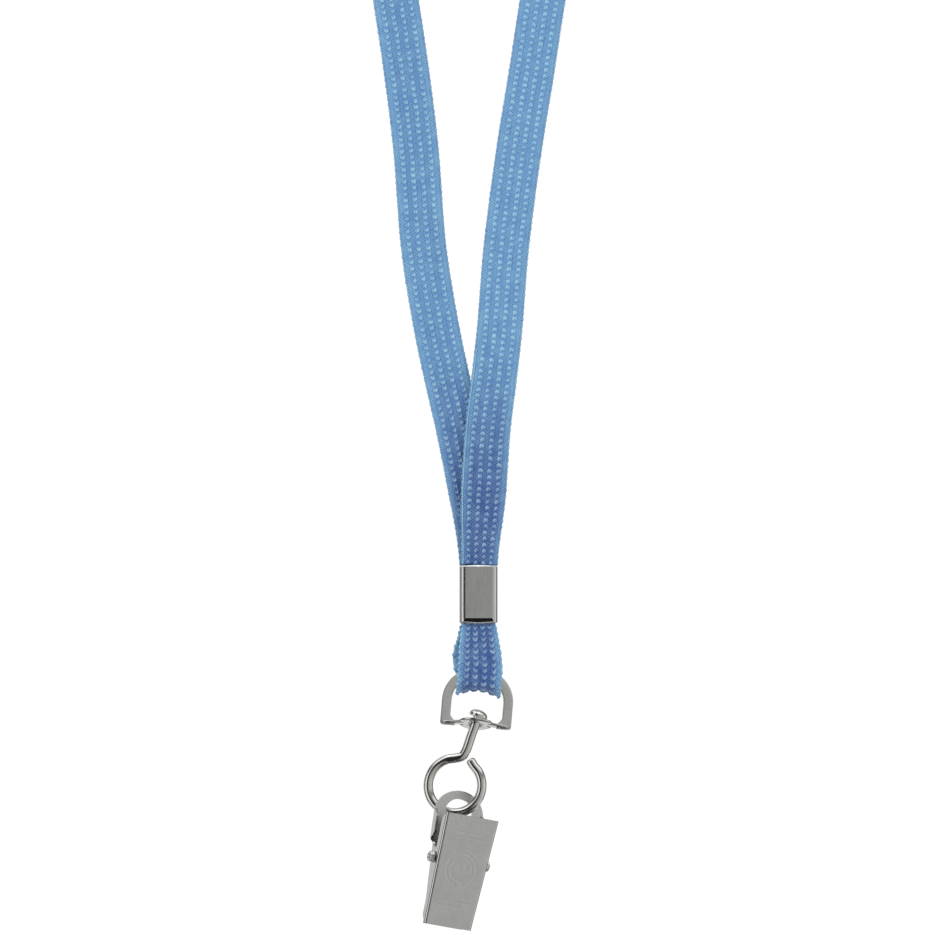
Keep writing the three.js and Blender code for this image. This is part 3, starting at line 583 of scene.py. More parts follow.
class LANYARD_OT_strap_ends(bpy.types.Operator):
    """Knits the strap's folded ends in the crimp and its turn round the bail"""

    bl_idname = "lanyard.strap_ends"
    bl_label = "Strap ends"

    def execute(self, context):
        s, c = context.scene.lanyard_sizes, context.scene.lanyard_colours
        yarn = material("Knitted polyester", knitted_polyester, c)
        axis = np.array(JOINTS["bail_swing"]["pos_m"]) / MM
        low, high = (np.array(v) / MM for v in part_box("crimp_sleeve"))
        # Down in front of the bail's arch, under it and up behind it, at these angles.
        bend = np.radians(np.arange(15, 166, 15))
        front = [(0, -100.75, low[2] + 0.5), (0.1, -101.05, low[2] - 1), (0.2, -102.2, low[2] - 4.5),
                 (0.25, -102.95, low[2] - 8.5)]
        under = [(axis[0], axis[1] - 2.95 * math.cos(a), axis[2] - 2.6 * math.sin(a) ** 0.9) for a in bend]
        # The back layer leans aside only above the arch, which leaves the swung bail its room.
        back = [(axis[0] - 0.15, axis[1] + 2.95, axis[2] + 0.4), (-1.05, -97.05, low[2] - 8),
                (-0.45, -97.8, low[2] - 4.5), (-0.15, -98.95, low[2] - 1), (-0.1, -99.25, low[2] + 0.5)]
        line, _ = smooth_curve(MM * np.array(front + under + back), 0.3 * MM)
        z = line[:, 2] / MM
        out = line - MM * np.array([0, axis[1], 0])
        out[:, 0] = 0
        out[:, 2] = np.minimum(line[:, 2] - axis[2] * MM, 0)
        below = low[2] - z
        width = MM * np.interp(below, [0, 2, 6, 9.5, 12, 14.5], [6.6, 7.3, 8.4, 8.9, 8.9, 8.7])
        curl = MM * np.interp(below, [5, 9, 11, 13], [0, 0.6, 1.0, 1.25])
        body = np.full(len(line), s.strap_body)
        # The loop is painted in the deep tones, as painted shade, with its edges painted paler, as painted
        # light.
        tight = dict(spread=0.14, leg_half=(0.6, 0.38), lean=32, edge_painted_light=1.0, edge_leg=0.9, curl=curl)
        plain, ground, stitched, legs, _ = knit(line, out, width, body, s, np.zeros(len(line)), **tight)
        # Its edges droop past the arch, and the fold sits square on it, which hangs a little to one side.
        tilt = turn(roll=5)
        for points in (plain[0], stitched[0]):
            depth = step_to(low[2] - points[:, 2] / MM, 4, 12)[:, None]
            local = points - axis * MM
            points[:] = points + depth * (local @ tilt.T - local)
        add_mesh("bail_loop_body", *plain, yarn, "strap", "polyester_knit", ["strap_bail_loop"], ground)
        add_mesh("bail_loop_stitches", *stitched, yarn, "strap", "polyester_knit", (), legs)
        for name in ("bail_loop_body", "bail_loop_stitches"):
            bpy.data.objects[name].visible_glossy = False
        # Two flat layers in the crimp.
        parts, grounds = [], []
        rows = np.linspace(low[2] + 0.4, high[2] - 0.3, 24)
        packed_width, packed_body = np.full(24, 6.4 * MM), np.full(24, 1.1 * MM)
        for y in (-0.74, 0.74):
            line = MM * np.stack([0 * rows, axis[1] + y + 0 * rows, rows], -1)
            face = np.tile([0.0, -1.0, 0.0], (len(rows), 1))
            plain, ground, *_ = knit(line, face, packed_width, packed_body, s, np.zeros(24))
            parts.append(plain)
            grounds.append(ground)
        add_mesh("strap_ends_in_crimp", *joined(parts), yarn, "strap", "polyester_knit", ["strap_in_crimp"],
                 {key: np.concatenate([g[key] for g in grounds]) for key in ground})
        return {"FINISHED"}


class LANYARD_OT_crimp(bpy.types.Operator):
    """Rolls the crimp sleeve from sheet, with its seam at the back and a short front wall"""

    bl_idname = "lanyard.crimp"
    bl_label = "Crimp sleeve"

    def execute(self, context):
        s, c = context.scene.lanyard_sizes, context.scene.lanyard_colours
        low, high = (np.array(v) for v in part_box("crimp_sleeve"))
        middle, half = (low + high) / 2, (high - low) / 2
        corner, gap = 1.25 * MM, 0.25 * MM

        def wall(inset):
            """The rolled outline from one side of the seam round the front to the other: straight runs and
            quarter circles, all drawn in by inset."""
            r = corner - inset
            x, y = half[0] - corner, half[1] - corner
            quarter = np.radians(np.linspace(90, 0, 10))
            right = np.stack([x + r * np.cos(quarter), y + r * np.sin(quarter)], -1)
            lower = np.stack([x + r * np.cos(quarter - np.pi / 2), -y + r * np.sin(quarter - np.pi / 2)], -1)
            flat = np.stack([np.linspace(x, 0, 14)[1:], np.full(13, -half[1] + inset)], -1)
            start = np.array([[gap, half[1] - inset]])
            run = np.concatenate([start, right, lower, flat])
            return np.concatenate([run, run[-2::-1] * [-1, 1]])

        outer, inner = wall(0), wall(s.sheet)
        notch = step_to(3.3 * MM - np.abs(outer[:, 0]), 0, 0.5 * MM) * (outer[:, 1] < -half[1] + 0.3 * MM)
        rows = np.linspace(0, 1, 12)[:, None]
        base = (low[2] + 0.95 * MM * notch)[None]
        z = base + rows * (high[2] - base)
        shell = [np.concatenate([np.broadcast_to(o[None] + middle[:2], (12, len(o), 2)), z[..., None]], -1)
                 for o in (outer, inner)]
        n = len(outer)
        points = np.concatenate([p.reshape(-1, 3) for p in shell])
        j = np.arange(n - 1)
        ends = [np.stack([k + j, k + j + 1, k + j + 1 + 12 * n, k + j + 12 * n], -1) for k in (0, 11 * n)]
        i = np.arange(11) * n
        seams = [np.stack([i + k, i + n + k, i + n + k + 12 * n, i + k + 12 * n], -1) for k in (0, n - 1)]
        faces = [grid_faces(12, n), grid_faces(12, n, start=12 * n), *ends, *seams]
        metal = material("Satin nickel, crimp", satin_nickel, c, (7000, 7000, 260), 0.2, 0.4)
        sleeve = add_mesh("crimp_shell", points, faces, metal, "strap", "satin_nickel", ["crimp_sleeve"])
        soften(sleeve, 0.06 * MM)
        # A thin curled lip closes the short front wall's slot.
        x = np.linspace(-3.45, 3.45, 40)
        bow = (1 - (x / 3.45) ** 2) ** 0.5
        curl = np.stack([x, -half[1] / MM + 0.3 - 0.2 * bow, -half[2] / MM + 0.15 - 0.17 * bow**4], -1)
        lip = round_wire(curl, 0.3, 12)
        add_mesh("crimp_lip", MM * lip[0] + middle, lip[1], metal, "strap", "satin_nickel")
        # The strap, crushed hard behind the lip, fills the slot as a flat roll with rounded ends, painted
        # almost black as a painted shadow.
        around = np.linspace(0, 2 * np.pi, 24, endpoint=False)
        x = np.linspace(-3.5, 3.5, 40)[:, None]
        full = 1 - (x / 3.55) ** 12
        y = -half[1] / MM + 0.625 + 0.125 * full * np.sign(np.cos(around)) * np.abs(np.cos(around)) ** 0.4
        z = -half[2] / MM + 0.625 + 0.575 * full * np.sign(np.sin(around)) * np.abs(np.sin(around)) ** 0.4
        roll = tube(np.stack([x + 0 * around, y, z], -1))
        yarn = material("Crushed yarn, painted shadow", shadow_painted_yarn)
        add_mesh("crimp_gap", MM * roll[0] + middle, roll[1], yarn, "strap", "polyester_knit")
        return {"FINISHED"}


# ---------- bail ----------

BAIL_TURN = dict(roll=5, pitch=-20)
HOOK_TURN = dict(pitch=-6, yaw=-12)
CLIP_TURN = dict(roll=11.9, yaw=25)
HOOK_LEAN = 20


class LANYARD_OT_bail(bpy.types.Operator):
    """Stamps the swivel bail: a D with a flat round top, and a plate that arches up to the hook's disc"""

    bl_idname = "lanyard.bail"
    bl_label = "Swivel bail"

    def execute(self, context):
        c = context.scene.lanyard_colours
        outer, strip, lift, drop, thick = 7.35, 2.0, 1.8, 11.05, 0.55
        inner, centre = outer - strip, lift - outer
        # The outline down one arm: a quarter circle, then straight, with a swelling foot inside.
        quarter = np.linspace(90, 0, 28)
        foot = np.linspace(0, 1, 22)[1:]
        z = centre - foot * (drop + centre)
        swell = 1.05 * step_to(-z, drop - 2.3, drop - 0.5)
        trim = 0.35 * step_to(-z, drop - 0.5, drop) ** 2
        arc = np.radians(quarter)
        out = np.concatenate([np.stack([outer * np.cos(arc), centre + outer * np.sin(arc)], -1),
                              np.stack([outer - trim, z], -1)])
        into = np.concatenate([np.stack([inner * np.cos(arc), centre + inner * np.sin(arc)], -1),
                               np.stack([inner - swell, z], -1)])
        out, into = (np.concatenate([o[::-1] * [-1, 1], o[1:]]) for o in (out, into))
        angle = np.linspace(0, 2 * np.pi, 28, endpoint=False)
        blunt = lambda v, power: np.sign(v) * np.abs(v) ** power
        across, depth = blunt(np.cos(angle), 0.22)[None, :, None], blunt(np.sin(angle), 0.22)
        middle, half = (out + into)[:, None] / 2, (out - into)[:, None] / 2
        flat = middle + half * across
        rings = np.stack([flat[..., 0], np.broadcast_to(0.36 * depth, flat.shape[:2]), flat[..., 1]], -1)
        arms = tube(rings)
        # The plate, as rings about the hook's hole: each goes round the plate's section, from the hole's edge
        # over the top, round the rim and back below.
        plate_end, plate_side, disc, merge_power = 6.9, 0.85, 3.6, 10
        spin = np.linspace(0, 2 * np.pi, 144, endpoint=False)
        bar = np.minimum(plate_end / np.maximum(np.abs(np.cos(spin)), 1e-6),
                         plate_side / np.maximum(np.abs(np.sin(spin)), 1e-6))
        merged = np.full_like(spin, disc) ** merge_power + np.clip(bar, 0, 20) ** merge_power
        rim = merged ** (1 / merge_power)
        rim = np.where(np.abs(np.cos(spin)) > 0.94, bar, rim)
        rim = np.minimum(rim, 7.2)
        hole, e = 1.35, 0.13
        share = np.array([0, 0, 0.02, 0.25, 0.5, 0.75, 1, 1, 1, 0.75, 0.5, 0.25])
        edge = np.array([e, 0, e, 0, 0, 0, -e, 0, -e, 0, 0, 0])
        level = np.array([0, e, thick, thick, thick, thick, thick, thick - e, e, 0, 0, 0])
        radius = hole + (rim[:, None] - hole) * share + edge
        x, y = radius * np.cos(spin)[:, None], radius * np.sin(spin)[:, None]
        arch = 0.55 * (1 - step_to(np.abs(x), 2.6, plate_end))
        droop = 0.12 * np.abs(y) ** 1.2 * 0.4
        plate_points = np.stack([x, y, -drop + arch + level - droop], -1)
        n, m = plate_points.shape[:2]
        plate = plate_points.reshape(-1, 3), [grid_faces(n, m, True, True)]
        points, faces = joined([arms, plate])
        points = MM * points @ turn(**BAIL_TURN).T + JOINTS["bail_swing"]["pos_m"]
        metal = material("Satin nickel, bail", satin_nickel, c, (4000, 4000, 1500), 0.24, 0.35)
        add_mesh("bail_stamping", points, faces, metal, "bail", "satin_nickel", ["swivel_bail"])
        return {"FINISHED"}


# ---------- hook ----------


class LANYARD_OT_hook(bpy.types.Operator):
    """Bends the hook's wire into a shank and an open eye, and forms its head"""

    bl_idname = "lanyard.hook"
    bl_label = "Swivel hook"

    def execute(self, context):
        s, c = context.scene.lanyard_sizes, context.scene.lanyard_colours
        lean = math.radians(HOOK_LEAN)
        down = np.array([-math.sin(lean), 0, -math.cos(lean)])
        # The head's tilted underside just clears the plate.
        plate_half, clearance, head_half, shank_tilt = 0.275, 0.3, 1.9, 23.5
        eye_radius, eye_x, eye_z = 5.65, -4.35, -12.8
        lift = plate_half + clearance + head_half * math.sin(math.radians(shank_tilt))
        shank = [down * -(lift + 0.3), down * 3, down * 6, down * 7.2 + (-0.35, 0, 0)]
        angle = np.radians([*range(88, 408, 20), 406, 416])
        radius = eye_radius + np.where(angle > math.radians(410), 0.35, 0)
        eye = np.stack([eye_x + radius * np.cos(angle), 0 * angle, eye_z + radius * np.sin(angle)], -1)
        line, _ = smooth_curve(np.concatenate([shank, eye]), 0.12)
        wire = round_wire(line, s.wire / MM, 44)
        r = s.head / MM / 2
        dome = np.radians(np.linspace(8, 88, 14))
        profile = [(0.02, 0), (0.6 * r, 0), (r - 0.15, 0), (r - 0.03, 0.06), (r, 0.2), (r, 0.42)]
        profile += [(r * math.cos(a), 0.42 + 1.1 * math.sin(a)) for a in dome]
        head = moved(lathe(profile), turn(roll=HOOK_LEAN), -down * lift)
        points, faces = joined([wire, head])
        points = MM * points @ turn(**HOOK_TURN).T + JOINTS["hook_swivel"]["pos_m"]
        metal = material("Bright nickel, hook", bright_nickel, c.bright, 0.07, 0.16)
        add_mesh("hook_wire", points, faces, metal, "hook", "bright_nickel", ["swivel_hook"])
        return {"FINISHED"}


# ---------- clip ----------

LEVER, NOSE = 9.8, 13.45
FRONT = dict(standoff=1.75, lean=2.5, nose=5.4, lever=6.0)
BACK = dict(standoff=3.15, lean=8.5)
# The flange's depth, the radius of an ear and how far its foot spreads.
FLANGE, EAR, FILLET = 1.4, 1.4, 0.9
# Rows of points lie close together up to this height from the pin.
NEAR_PIN = 2.6
# The back tray's nose is narrower by this on each side, to go between the front tray's ears.
NEST = 0.95
TAB_HEIGHT = 4.9


def tray(z, half, depth, slot_half, standoff, sheet, fold):
    """A pressed tray as two mirrored halves. At each height z its section runs from the flange's rim round
    the fold and along the plate to the middle, or to the edge of a hole of half width slot_half, once outside
    and once inside the sheet. half and depth give its half width and its flange at each height. Returns the
    part, and which of its points lie on the flanges and folds, that tumbling polishes."""
    quarter = np.radians(np.linspace(0, 90, 7))
    zero = np.zeros_like(z)[:, None]

    def skin(inset):
        """One side of the sheet, drawn in by inset: the places across and in depth."""
        y0 = -standoff - sheet + inset
        r = fold - inset
        rim = np.maximum(-standoff + depth, y0 + r + 0.02)[:, None]
        wall_y = rim + (y0 + r - rim) * np.linspace(0, 1, 5)[None]
        wall_x = (half[:, None] - inset) + 0 * wall_y
        arc_x = (half - fold)[:, None] + r * np.cos(quarter)[None]
        arc_y = zero + (-standoff - sheet + fold) - r * np.sin(quarter)[None]
        end = slot_half[:, None]
        flat_x = (half - fold)[:, None] + (end - (half - fold)[:, None]) * np.linspace(0, 1, 7)[None, 1:]
        flat_y = y0 + 0 * flat_x
        return (np.concatenate([wall_x, arc_x[:, 1:], flat_x], 1),
                np.concatenate([wall_y, arc_y[:, 1:], flat_y], 1))

    parts, worn = [], []
    for side in (-1, 1):
        shells = []
        for inset in (0, sheet):
            x, y = skin(inset)
            shells.append(np.stack([side * x, y, np.broadcast_to(z[:, None], x.shape)], -1))
        rows, n = shells[0].shape[:2]
        total = rows * n
        points = np.concatenate([p.reshape(-1, 3) for p in shells])
        j, i = np.arange(n - 1), np.arange(rows - 1) * n
        ends = [np.stack([k + j, k + j + 1, k + j + 1 + total, k + j + total], -1)
                for k in (0, (rows - 1) * n)]
        rim = np.stack([i, i + n, i + n + total, i + total], -1)
        open_rows = (slot_half[:-1] > 0) | (slot_half[1:] > 0)
        cut = (i + n - 1)[open_rows]
        slot = np.stack([cut, cut + n, cut + n + total, cut + total], -1)
        faces = [grid_faces(rows, n), grid_faces(rows, n, start=total), *ends, rim]
        parts.append((points, faces + ([slot] if len(slot) else [])))
        worn.append(np.tile(np.arange(n) < n - 6, 2 * rows))
    return joined(parts), np.concatenate(worn)


def ear_depth(z, standoff, flange, ear, fillet, low, high):
    """The flange's depth at each height: even, down to nothing at both ends, with a round ear at the pin."""
    even = np.minimum(flange, np.minimum(z - low, high - z))
    rise = flange + (standoff - flange) * np.clip((ear + fillet - np.abs(z)) / fillet, 0, 1)
    bump = np.where(np.abs(z) < ear, standoff + np.sqrt(np.maximum(ear**2 - z**2, 0)), 0)
    return np.maximum(np.where(np.abs(z) < ear + fillet, np.maximum(rise, bump), even), 0)


class LANYARD_OT_clip_jaws(bpy.types.Operator):
    """Presses the clip's two jaws, each a tray with ears for the pin, and the back one's tab"""

    bl_idname = "lanyard.clip_jaws"
    bl_label = "Clip jaws"

    def execute(self, context):
        s, c = context.scene.lanyard_sizes, context.scene.lanyard_colours
        t = s.sheet / MM
        place, frame_turn = np.array(JOINTS["jaw_open"]["pos_m"]), turn(**CLIP_TURN)
        metal = material("Satin nickel, clip", clip_nickel, c, frame_turn, place)

        def reach(jaw):
            """From a tray's plate to just short of the plane where the two noses meet."""
            a = math.radians(jaw["lean"])
            return (jaw["standoff"] * math.cos(a) - NOSE * math.sin(a) - 0.15) / math.cos(a)

        def finish_jaw(name, shape, half, jaw, reverse, body, node_name):
            """Adds a jaw's gripping lip, leans it, turns the back one round, and makes the piece."""
            part, worn = shape
            y = -jaw["standoff"] - t
            lip = block((-half + 0.7, y + 0.02, -NOSE), (half - 0.7, y + t + reach(jaw), -NOSE + t))
            points, faces = joined([part, lip])
            way = turn(pitch=-jaw["lean"]) @ turn(yaw=180) if reverse else turn(pitch=jaw["lean"])
            points = MM * (points @ way.T) @ frame_turn.T + place
            worn = np.concatenate([worn, np.ones(len(points) - len(worn))])
            made = add_mesh(name, points, faces, metal, body, "satin_nickel", [node_name], {"worn": worn},
                            1e-6)
            soften(made, 0.07 * MM)

        near_pin = NEAR_PIN * np.sin(np.linspace(-np.pi / 2, np.pi / 2, 41))

        def heights(nose_rows, lever_rows, *more):
            """The rows of a tray: even along the nose and the lever, and close together at the pin."""
            nose = np.linspace(-NOSE, -NEAR_PIN, nose_rows)
            return np.unique(np.concatenate([nose, near_pin, np.linspace(NEAR_PIN, LEVER, lever_rows),
                                             *more]).round(5))

        z = heights(30, 22)
        half = FRONT["nose"] + (FRONT["lever"] - FRONT["nose"]) * (z + NOSE) / (LEVER + NOSE)
        depth = ear_depth(z, FRONT["standoff"], FLANGE, EAR, FILLET, -NOSE, LEVER)
        part = tray(z, half, depth, 0 * z, FRONT["standoff"], t, 0.6)
        finish_jaw("clip_front_tray", part, FRONT["nose"], FRONT, False, "front_jaw", "clip_front_jaw")

        # The back jaw is narrower where it passes between the front jaw's ears, then widens to its tab.
        top, tab, band = LEVER + TAB_HEIGHT, 5.6, 1.7
        hole_half, hole_high = 3.1, 2.65
        hole_middle = top - band - hole_high
        in_hole = hole_middle + hole_high * np.sin(np.linspace(-np.pi / 2, np.pi / 2, 25))
        round_top = LEVER + TAB_HEIGHT * np.sin(np.linspace(0, np.pi / 2, 25))[:-1]
        z = heights(26, 20, in_hole, round_top, [top - 0.012])
        slope = (FRONT["lever"] - FRONT["nose"]) / (LEVER + NOSE)
        narrow = FRONT["nose"] - NEST + slope * (z + NOSE)
        half = narrow + (tab - narrow) * step_to(z, 3.1, 4.0)
        rounded = tab * np.sqrt(np.maximum(1 - ((z - LEVER) / TAB_HEIGHT) ** 2, 0.004))
        half = np.where(z > LEVER, rounded, half)
        # The flange stops at the waist and starts again on the wide part.
        waist_low, waist_high = 3.2, 3.9
        low_part = ear_depth(z, BACK["standoff"], FLANGE, EAR, FILLET, -NOSE, waist_low)
        high_part = np.clip(np.minimum(np.minimum(z - waist_high, LEVER + 0.6 - z), FLANGE), 0, None)
        depth = np.where(z < waist_low, low_part, high_part)
        slot = hole_half * np.sqrt(np.maximum(1 - ((z - hole_middle) / hole_high) ** 2, 0))
        part = tray(z, half, depth, slot, BACK["standoff"], t, 0.45)
        finish_jaw("clip_back_tray", part, FRONT["nose"] - NEST, BACK, True, "clip",
                   "clip_back_jaw")
        return {"FINISHED"}


def clip_nickel(tree, c, frame_turn, place):
    """Satin nickel with a shallow pressed panel of plain rings and bars on the clip's front plate. The
    pattern is drawn in the clip's own axes, across and along its plates."""
    centre = node(tree, "Mapping", {"Vector": node(tree, "TexCoord", out="Object"), "Location": place,
                                    "Rotation": Matrix(frame_turn.tolist()).to_euler("XYZ")},
                  vector_type="TEXTURE")
    x, y, z = node(tree, "SeparateXYZ", {"Vector": centre}).node.outputs

    def groove(place, middle, half_width):
        """1 in a line where place is near middle, falling smoothly to 0 on both sides."""
        offset = node(tree, "Math", {0: place, 1: middle}, operation="SUBTRACT")
        distance = node(tree, "Math", {0: offset}, operation="ABSOLUTE")
        return node(tree, "MapRange", {"Value": distance, "From Min": 0.0, "From Max": half_width,
                                       "To Min": 1.0, "To Max": 0.0}, interpolation_type="SMOOTHSTEP")

    # Two rings about a point 1.5 mm below the pin, and two pairs of bars.
    up = node(tree, "Math", {0: z, 1: 0.0015}, operation="ADD")
    squares = [node(tree, "Math", {0: v, 1: v}, operation="MULTIPLY") for v in (x, up)]
    total = node(tree, "Math", dict(enumerate(squares)), operation="ADD")
    ring = node(tree, "Math", {0: total}, operation="SQRT")
    rings = [groove(ring, radius, 0.00022) for radius in (0.0034, 0.0024)]
    marks = node(tree, "Math", dict(enumerate(rings)), operation="MAXIMUM")
    across = node(tree, "Math", {0: x}, operation="ABSOLUTE")
    inside = node(tree, "Math", {0: across, 1: 0.0036}, operation="LESS_THAN")
    for height in (0.0062, 0.0052, -0.0082, -0.0092):
        bar = node(tree, "Math", {0: groove(z, height, 0.0002), 1: inside}, operation="MULTIPLY")
        marks = node(tree, "Math", {0: marks, 1: bar}, operation="MAXIMUM")
    front = node(tree, "Math", {0: y, 1: -0.0012}, operation="LESS_THAN")
    marks = node(tree, "Math", {0: marks, 1: front}, operation="MULTIPLY")
    dull, tone, fine = satin_sheet(tree, centre, c.nickel, (5200, 5200, 900), 300, (0.3, 0.4), 0.92,
                                   (0.75, 1.08), 0.5, 0.2)
    worn = node(tree, "Attribute", out="Fac", attribute_name="worn")
    polish = node(tree, "Math", {0: worn, 1: -0.18, 2: dull}, operation="MULTIPLY_ADD")
    pressed = node(tree, "Bump", {"Height": marks, "Normal": fine, "Strength": 0.45, "Distance": 0.00007},
                   invert=True)
    return node(tree, "BsdfPrincipled", {"Base Color": tone, "Roughness": polish, "Normal": pressed,
                                         "Metallic": 1.0})


class LANYARD_OT_pin_and_spring(bpy.types.Operator):
    """Turns the clip's hinge pin and winds its torsion spring"""

    bl_idname = "lanyard.pin_and_spring"
    bl_label = "Pin and spring"

    def execute(self, context):
        s, c = context.scene.lanyard_sizes, context.scene.lanyard_colours
        place, frame_turn = np.array(JOINTS["jaw_open"]["pos_m"]), turn(**CLIP_TURN)
        ear = FRONT["nose"] + (FRONT["lever"] - FRONT["nose"]) * (1.4 + NOSE) / (LEVER + NOSE)
        shaft, head, neck = s.pin / MM / 2, s.pin_head / MM / 2, ear + 0.2
        end = neck + 0.85
        right = [(shaft, 0), (shaft, neck), (head - 0.08, neck), (head, neck + 0.08), (head, neck + 0.34),
                 (head - 0.16, neck + 0.42), (head - 0.2, neck + 0.48), (head - 0.1, neck + 0.56),
                 (head - 0.14, end - 0.12), (head - 0.32, end), (0.5 * head, end + 0.02),
                 (0.42 * head, end - 0.14), (0.02, end - 0.16)]
        profile = [(r, -h) for r, h in right[::-1]] + right[1:]
        pin = moved(lathe(profile, 36), turn(roll=90))
        points = MM * pin[0] @ frame_turn.T + place
        bright = material("Bright nickel, pin", bright_nickel, c.bright, 0.12, 0.24)
        add_mesh("pin_rivet", points, pin[1], bright, "clip", "bright_nickel", ["hinge_pin"])
        # The coil: a helix round the pin, whose two ends run up the levers.
        turns, pitch, radius, leg = 4.5, 0.75, 1.2, 6.2
        rest = lambda jaw: (jaw["standoff"] + leg * math.sin(math.radians(jaw["lean"]))) / math.cos(
            math.radians(jaw["lean"])) - s.spring_wire / MM / 2 - 0.2
        front_y, back_y = rest(FRONT), rest(BACK)
        angle = 2 * np.pi * np.linspace(0, turns, 91)
        start = -turns * pitch / 2
        coil = np.stack([start + pitch * angle / (2 * np.pi), -radius * np.cos(angle),
                         -radius * np.sin(angle)], -1)
        up = [(start, -front_y, leg), (start, -(front_y + radius) / 2, leg / 2)]
        down = [(-start, (back_y + radius) / 2, leg / 2), (-start, back_y, leg)]
        line, _ = smooth_curve(np.concatenate([up, coil, down]), 0.12)
        spring = round_wire(line, s.spring_wire / MM, 12)
        points = MM * spring[0] @ frame_turn.T + place
        drawn = material("Spring steel", bright_nickel, c.steel, 0.22, 0.34)
        coil_piece = add_mesh("spring_coil", points, spring[1], drawn, None, "spring_steel",
                              ["torsion_spring"])
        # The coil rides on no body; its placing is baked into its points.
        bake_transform(coil_piece)
        return {"FINISHED"}


# ---------- stage ----------


def studio_world():
    """White to the eye, a soft even light on the strap, and round the metal a dim room with tall soft boxes:
    a ramp over the direction's bearing, from behind on the left past the front to behind on the right, times
    a ramp over its height, and a bright ceiling."""
    world = bpy.data.worlds.new("Studio")
    world.use_nodes = True
    tree = world.node_tree
    tree.nodes.clear()
    x, y, z = node(tree, "SeparateXYZ", {"Vector": node(tree, "TexCoord", out="Generated")}).node.outputs
    behind = node(tree, "Math", {0: y, 1: -1}, operation="MULTIPLY")
    bearing = node(tree, "Math", {0: x, 1: behind}, operation="ARCTAN2")
    share = node(tree, "MapRange", {"Value": bearing, "From Min": -math.pi, "From Max": math.pi})
    walls = ((-180, 0.3), (-150, 0.3), (-142, 0.7), (-118, 0.7), (-108, 0.06), (-84, 0.04), (-80, 1),
             (-44, 1), (-40, 0.03), (-10, 0.03), (-5, 0.42), (22, 0.42), (34, 0.6), (64, 0.6), (76, 0.9),
             (98, 0.9), (106, 0.1), (150, 0.3), (180, 0.3))
    ring = node(tree, "ValToRGB", {"Fac": share}, stops=[(0.5 + a / 360, opaque(v)) for a, v in walls])
    high = node(tree, "MapRange", {"Value": z, "From Min": -1.0, "From Max": 1.0})
    # Ramps over the height: the walls' fall, the bright ceiling, and low behind the part a lit pale table.
    fall, ceiling, low = (node(tree, "ValToRGB", {"Fac": high}, stops=[(a, opaque(v)) for a, v in stops])
                          for stops in (((0, 0.1), (0.04, 0.1), (0.12, 0.65), (0.3, 0.65), (0.47, 0.8),
                                         (0.64, 0.76), (0.73, 0.28), (0.81, 1), (1, 1)),
                                        ((0.76, 0), (0.82, 0.09), (0.92, 0.1), (0.97, 0.8)),
                                        ((0.06, 0), (0.12, 0.5), (0.25, 0.5), (0.32, 0))))
    rear = node(tree, "MapRange", {"Value": y, "From Min": 0.2, "From Max": 0.5})
    table = node(tree, "Mix", {0: 1.0, 6: low, 7: rear}, out=2, data_type="RGBA", blend_type="MULTIPLY")
    room = ring
    for layer, blend in ((fall, "MULTIPLY"), (ceiling, "ADD"), (table, "ADD")):
        room = node(tree, "Mix", {0: 1.0, 6: room, 7: layer}, out=2, data_type="RGBA", blend_type=blend)
    seen, soft, mirrored = (node(tree, "Background", {"Color": tone, "Strength": power})
                            for tone, power in ((opaque(1), 1.02), (opaque(1), 0.62), (room, 1.5)))
    path = node(tree, "LightPath").node.outputs
    shaped = node(tree, "MixShader", {0: path["Is Glossy Ray"], 1: soft, 2: mirrored})
    both = node(tree, "MixShader", {0: path["Is Camera Ray"], 1: shaped, 2: seen})
    node(tree, "OutputWorld", {"Surface": both})
    return world


def pale(tree):
    """Matt pale paint that glows a little, so that the floor stays light."""
    return node(tree, "BsdfPrincipled", {"Base Color": opaque(0.85), "Emission Color": opaque(0.85),
                                         "Emission Strength": 0.35, "Roughness": 0.8})


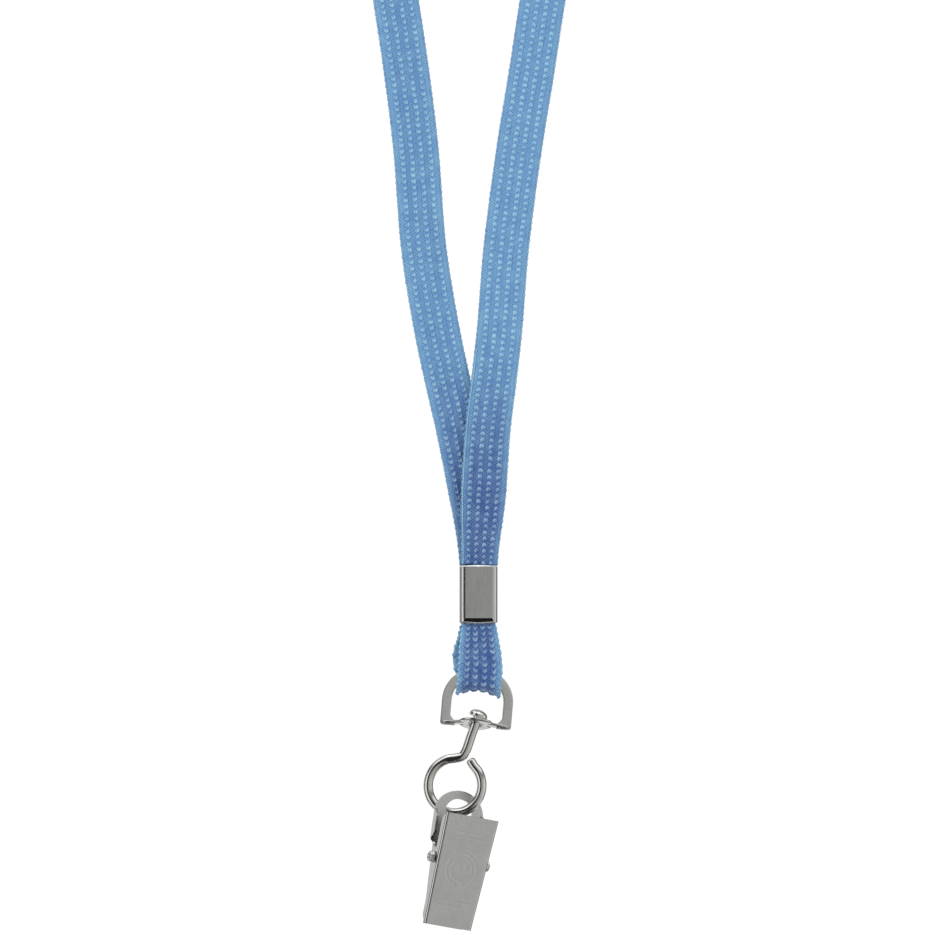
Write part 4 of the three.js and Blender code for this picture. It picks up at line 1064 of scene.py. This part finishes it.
class LANYARD_OT_stage(bpy.types.Operator):
    """Sets the camera, the studio round the part, the pale floor and the two lamps"""

    bl_idname = "lanyard.stage"
    bl_label = "Stage"

    def execute(self, context):
        scene = context.scene
        scene.view_settings.view_transform = "Standard"
        camera = bpy.data.objects.new("Camera", bpy.data.cameras.new("Camera"))
        camera.data.sensor_width, camera.data.lens = 36, 36 * 1.5 / 0.1932
        camera.data.clip_start, camera.data.clip_end = 0.05, 50
        camera.location, camera.rotation_euler = (-0.00227, -1.6, -0.32555), (math.radians(90), 0, 0)
        scene.collection.objects.link(camera)
        scene.camera = camera
        scene.world = studio_world()
        # The floor lies 1.4 m below the nape.
        floor = bpy.data.meshes.new("Floor")
        points, faces = block((-9, -9, -1.42), (9, 9, -1.4))
        floor.from_pydata(points.tolist(), [], faces[0].tolist())
        floor.materials.append(material("Pale floor", pale))
        ground = bpy.data.objects.new("Floor", floor)
        scene.collection.objects.link(ground)
        ground.visible_glossy = False
        lights = (("Key", (-0.7, -1.0, 0.35), 0.5, 7.0), ("Fill", (0.8, -0.9, -0.1), 0.3, 3.0))
        for name, place, size, power in lights:
            lamp = bpy.data.lights.new(name, "AREA")
            lamp.size, lamp.energy = size, power
            obj = bpy.data.objects.new(name, lamp)
            obj.location = place
            aim = np.array([0, -0.1, -0.36]) - place
            tilt, bearing = math.atan2(np.hypot(aim[0], aim[1]), -aim[2]), math.atan2(aim[1], aim[0])
            obj.rotation_euler = (tilt, 0, bearing - math.pi / 2)
            obj.visible_glossy = False
            scene.collection.objects.link(obj)
        return {"FINISHED"}


class LANYARD_PT_panel(bpy.types.Panel):
    """Lists the lanyard's pieces and settings"""

    bl_idname = "LANYARD_PT_panel"
    bl_label = "Lanyard badge holder"
    bl_space_type = "VIEW_3D"
    bl_region_type = "UI"
    bl_category = "Lanyard"

    def draw(self, context):
        for operator in OPERATORS:
            self.layout.operator(operator.bl_idname)
        for group in (context.scene.lanyard_sizes, context.scene.lanyard_colours):
            column = self.layout.column()
            for name in type(group).__annotations__:
                column.prop(group, name)


OPERATORS = (LANYARD_OT_stage, LANYARD_OT_neck_strap, LANYARD_OT_strap_ends, LANYARD_OT_crimp,
             LANYARD_OT_bail, LANYARD_OT_hook, LANYARD_OT_clip_jaws, LANYARD_OT_pin_and_spring)
CLASSES = (LanyardSizes, LanyardColours, *OPERATORS, LANYARD_PT_panel)


def register():
    for cls in CLASSES:
        bpy.utils.register_class(cls)
    bpy.types.Scene.lanyard_sizes = bpy.props.PointerProperty(type=LanyardSizes)
    bpy.types.Scene.lanyard_colours = bpy.props.PointerProperty(type=LanyardColours)


def unregister():
    del bpy.types.Scene.lanyard_colours
    del bpy.types.Scene.lanyard_sizes
    for cls in reversed(CLASSES):
        bpy.utils.unregister_class(cls)


def main():
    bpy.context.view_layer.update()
    register()
    for operator in OPERATORS:
        group, name = operator.bl_idname.split(".")
        getattr(getattr(bpy.ops, group), name)()


if __name__ == "__main__":
    main()
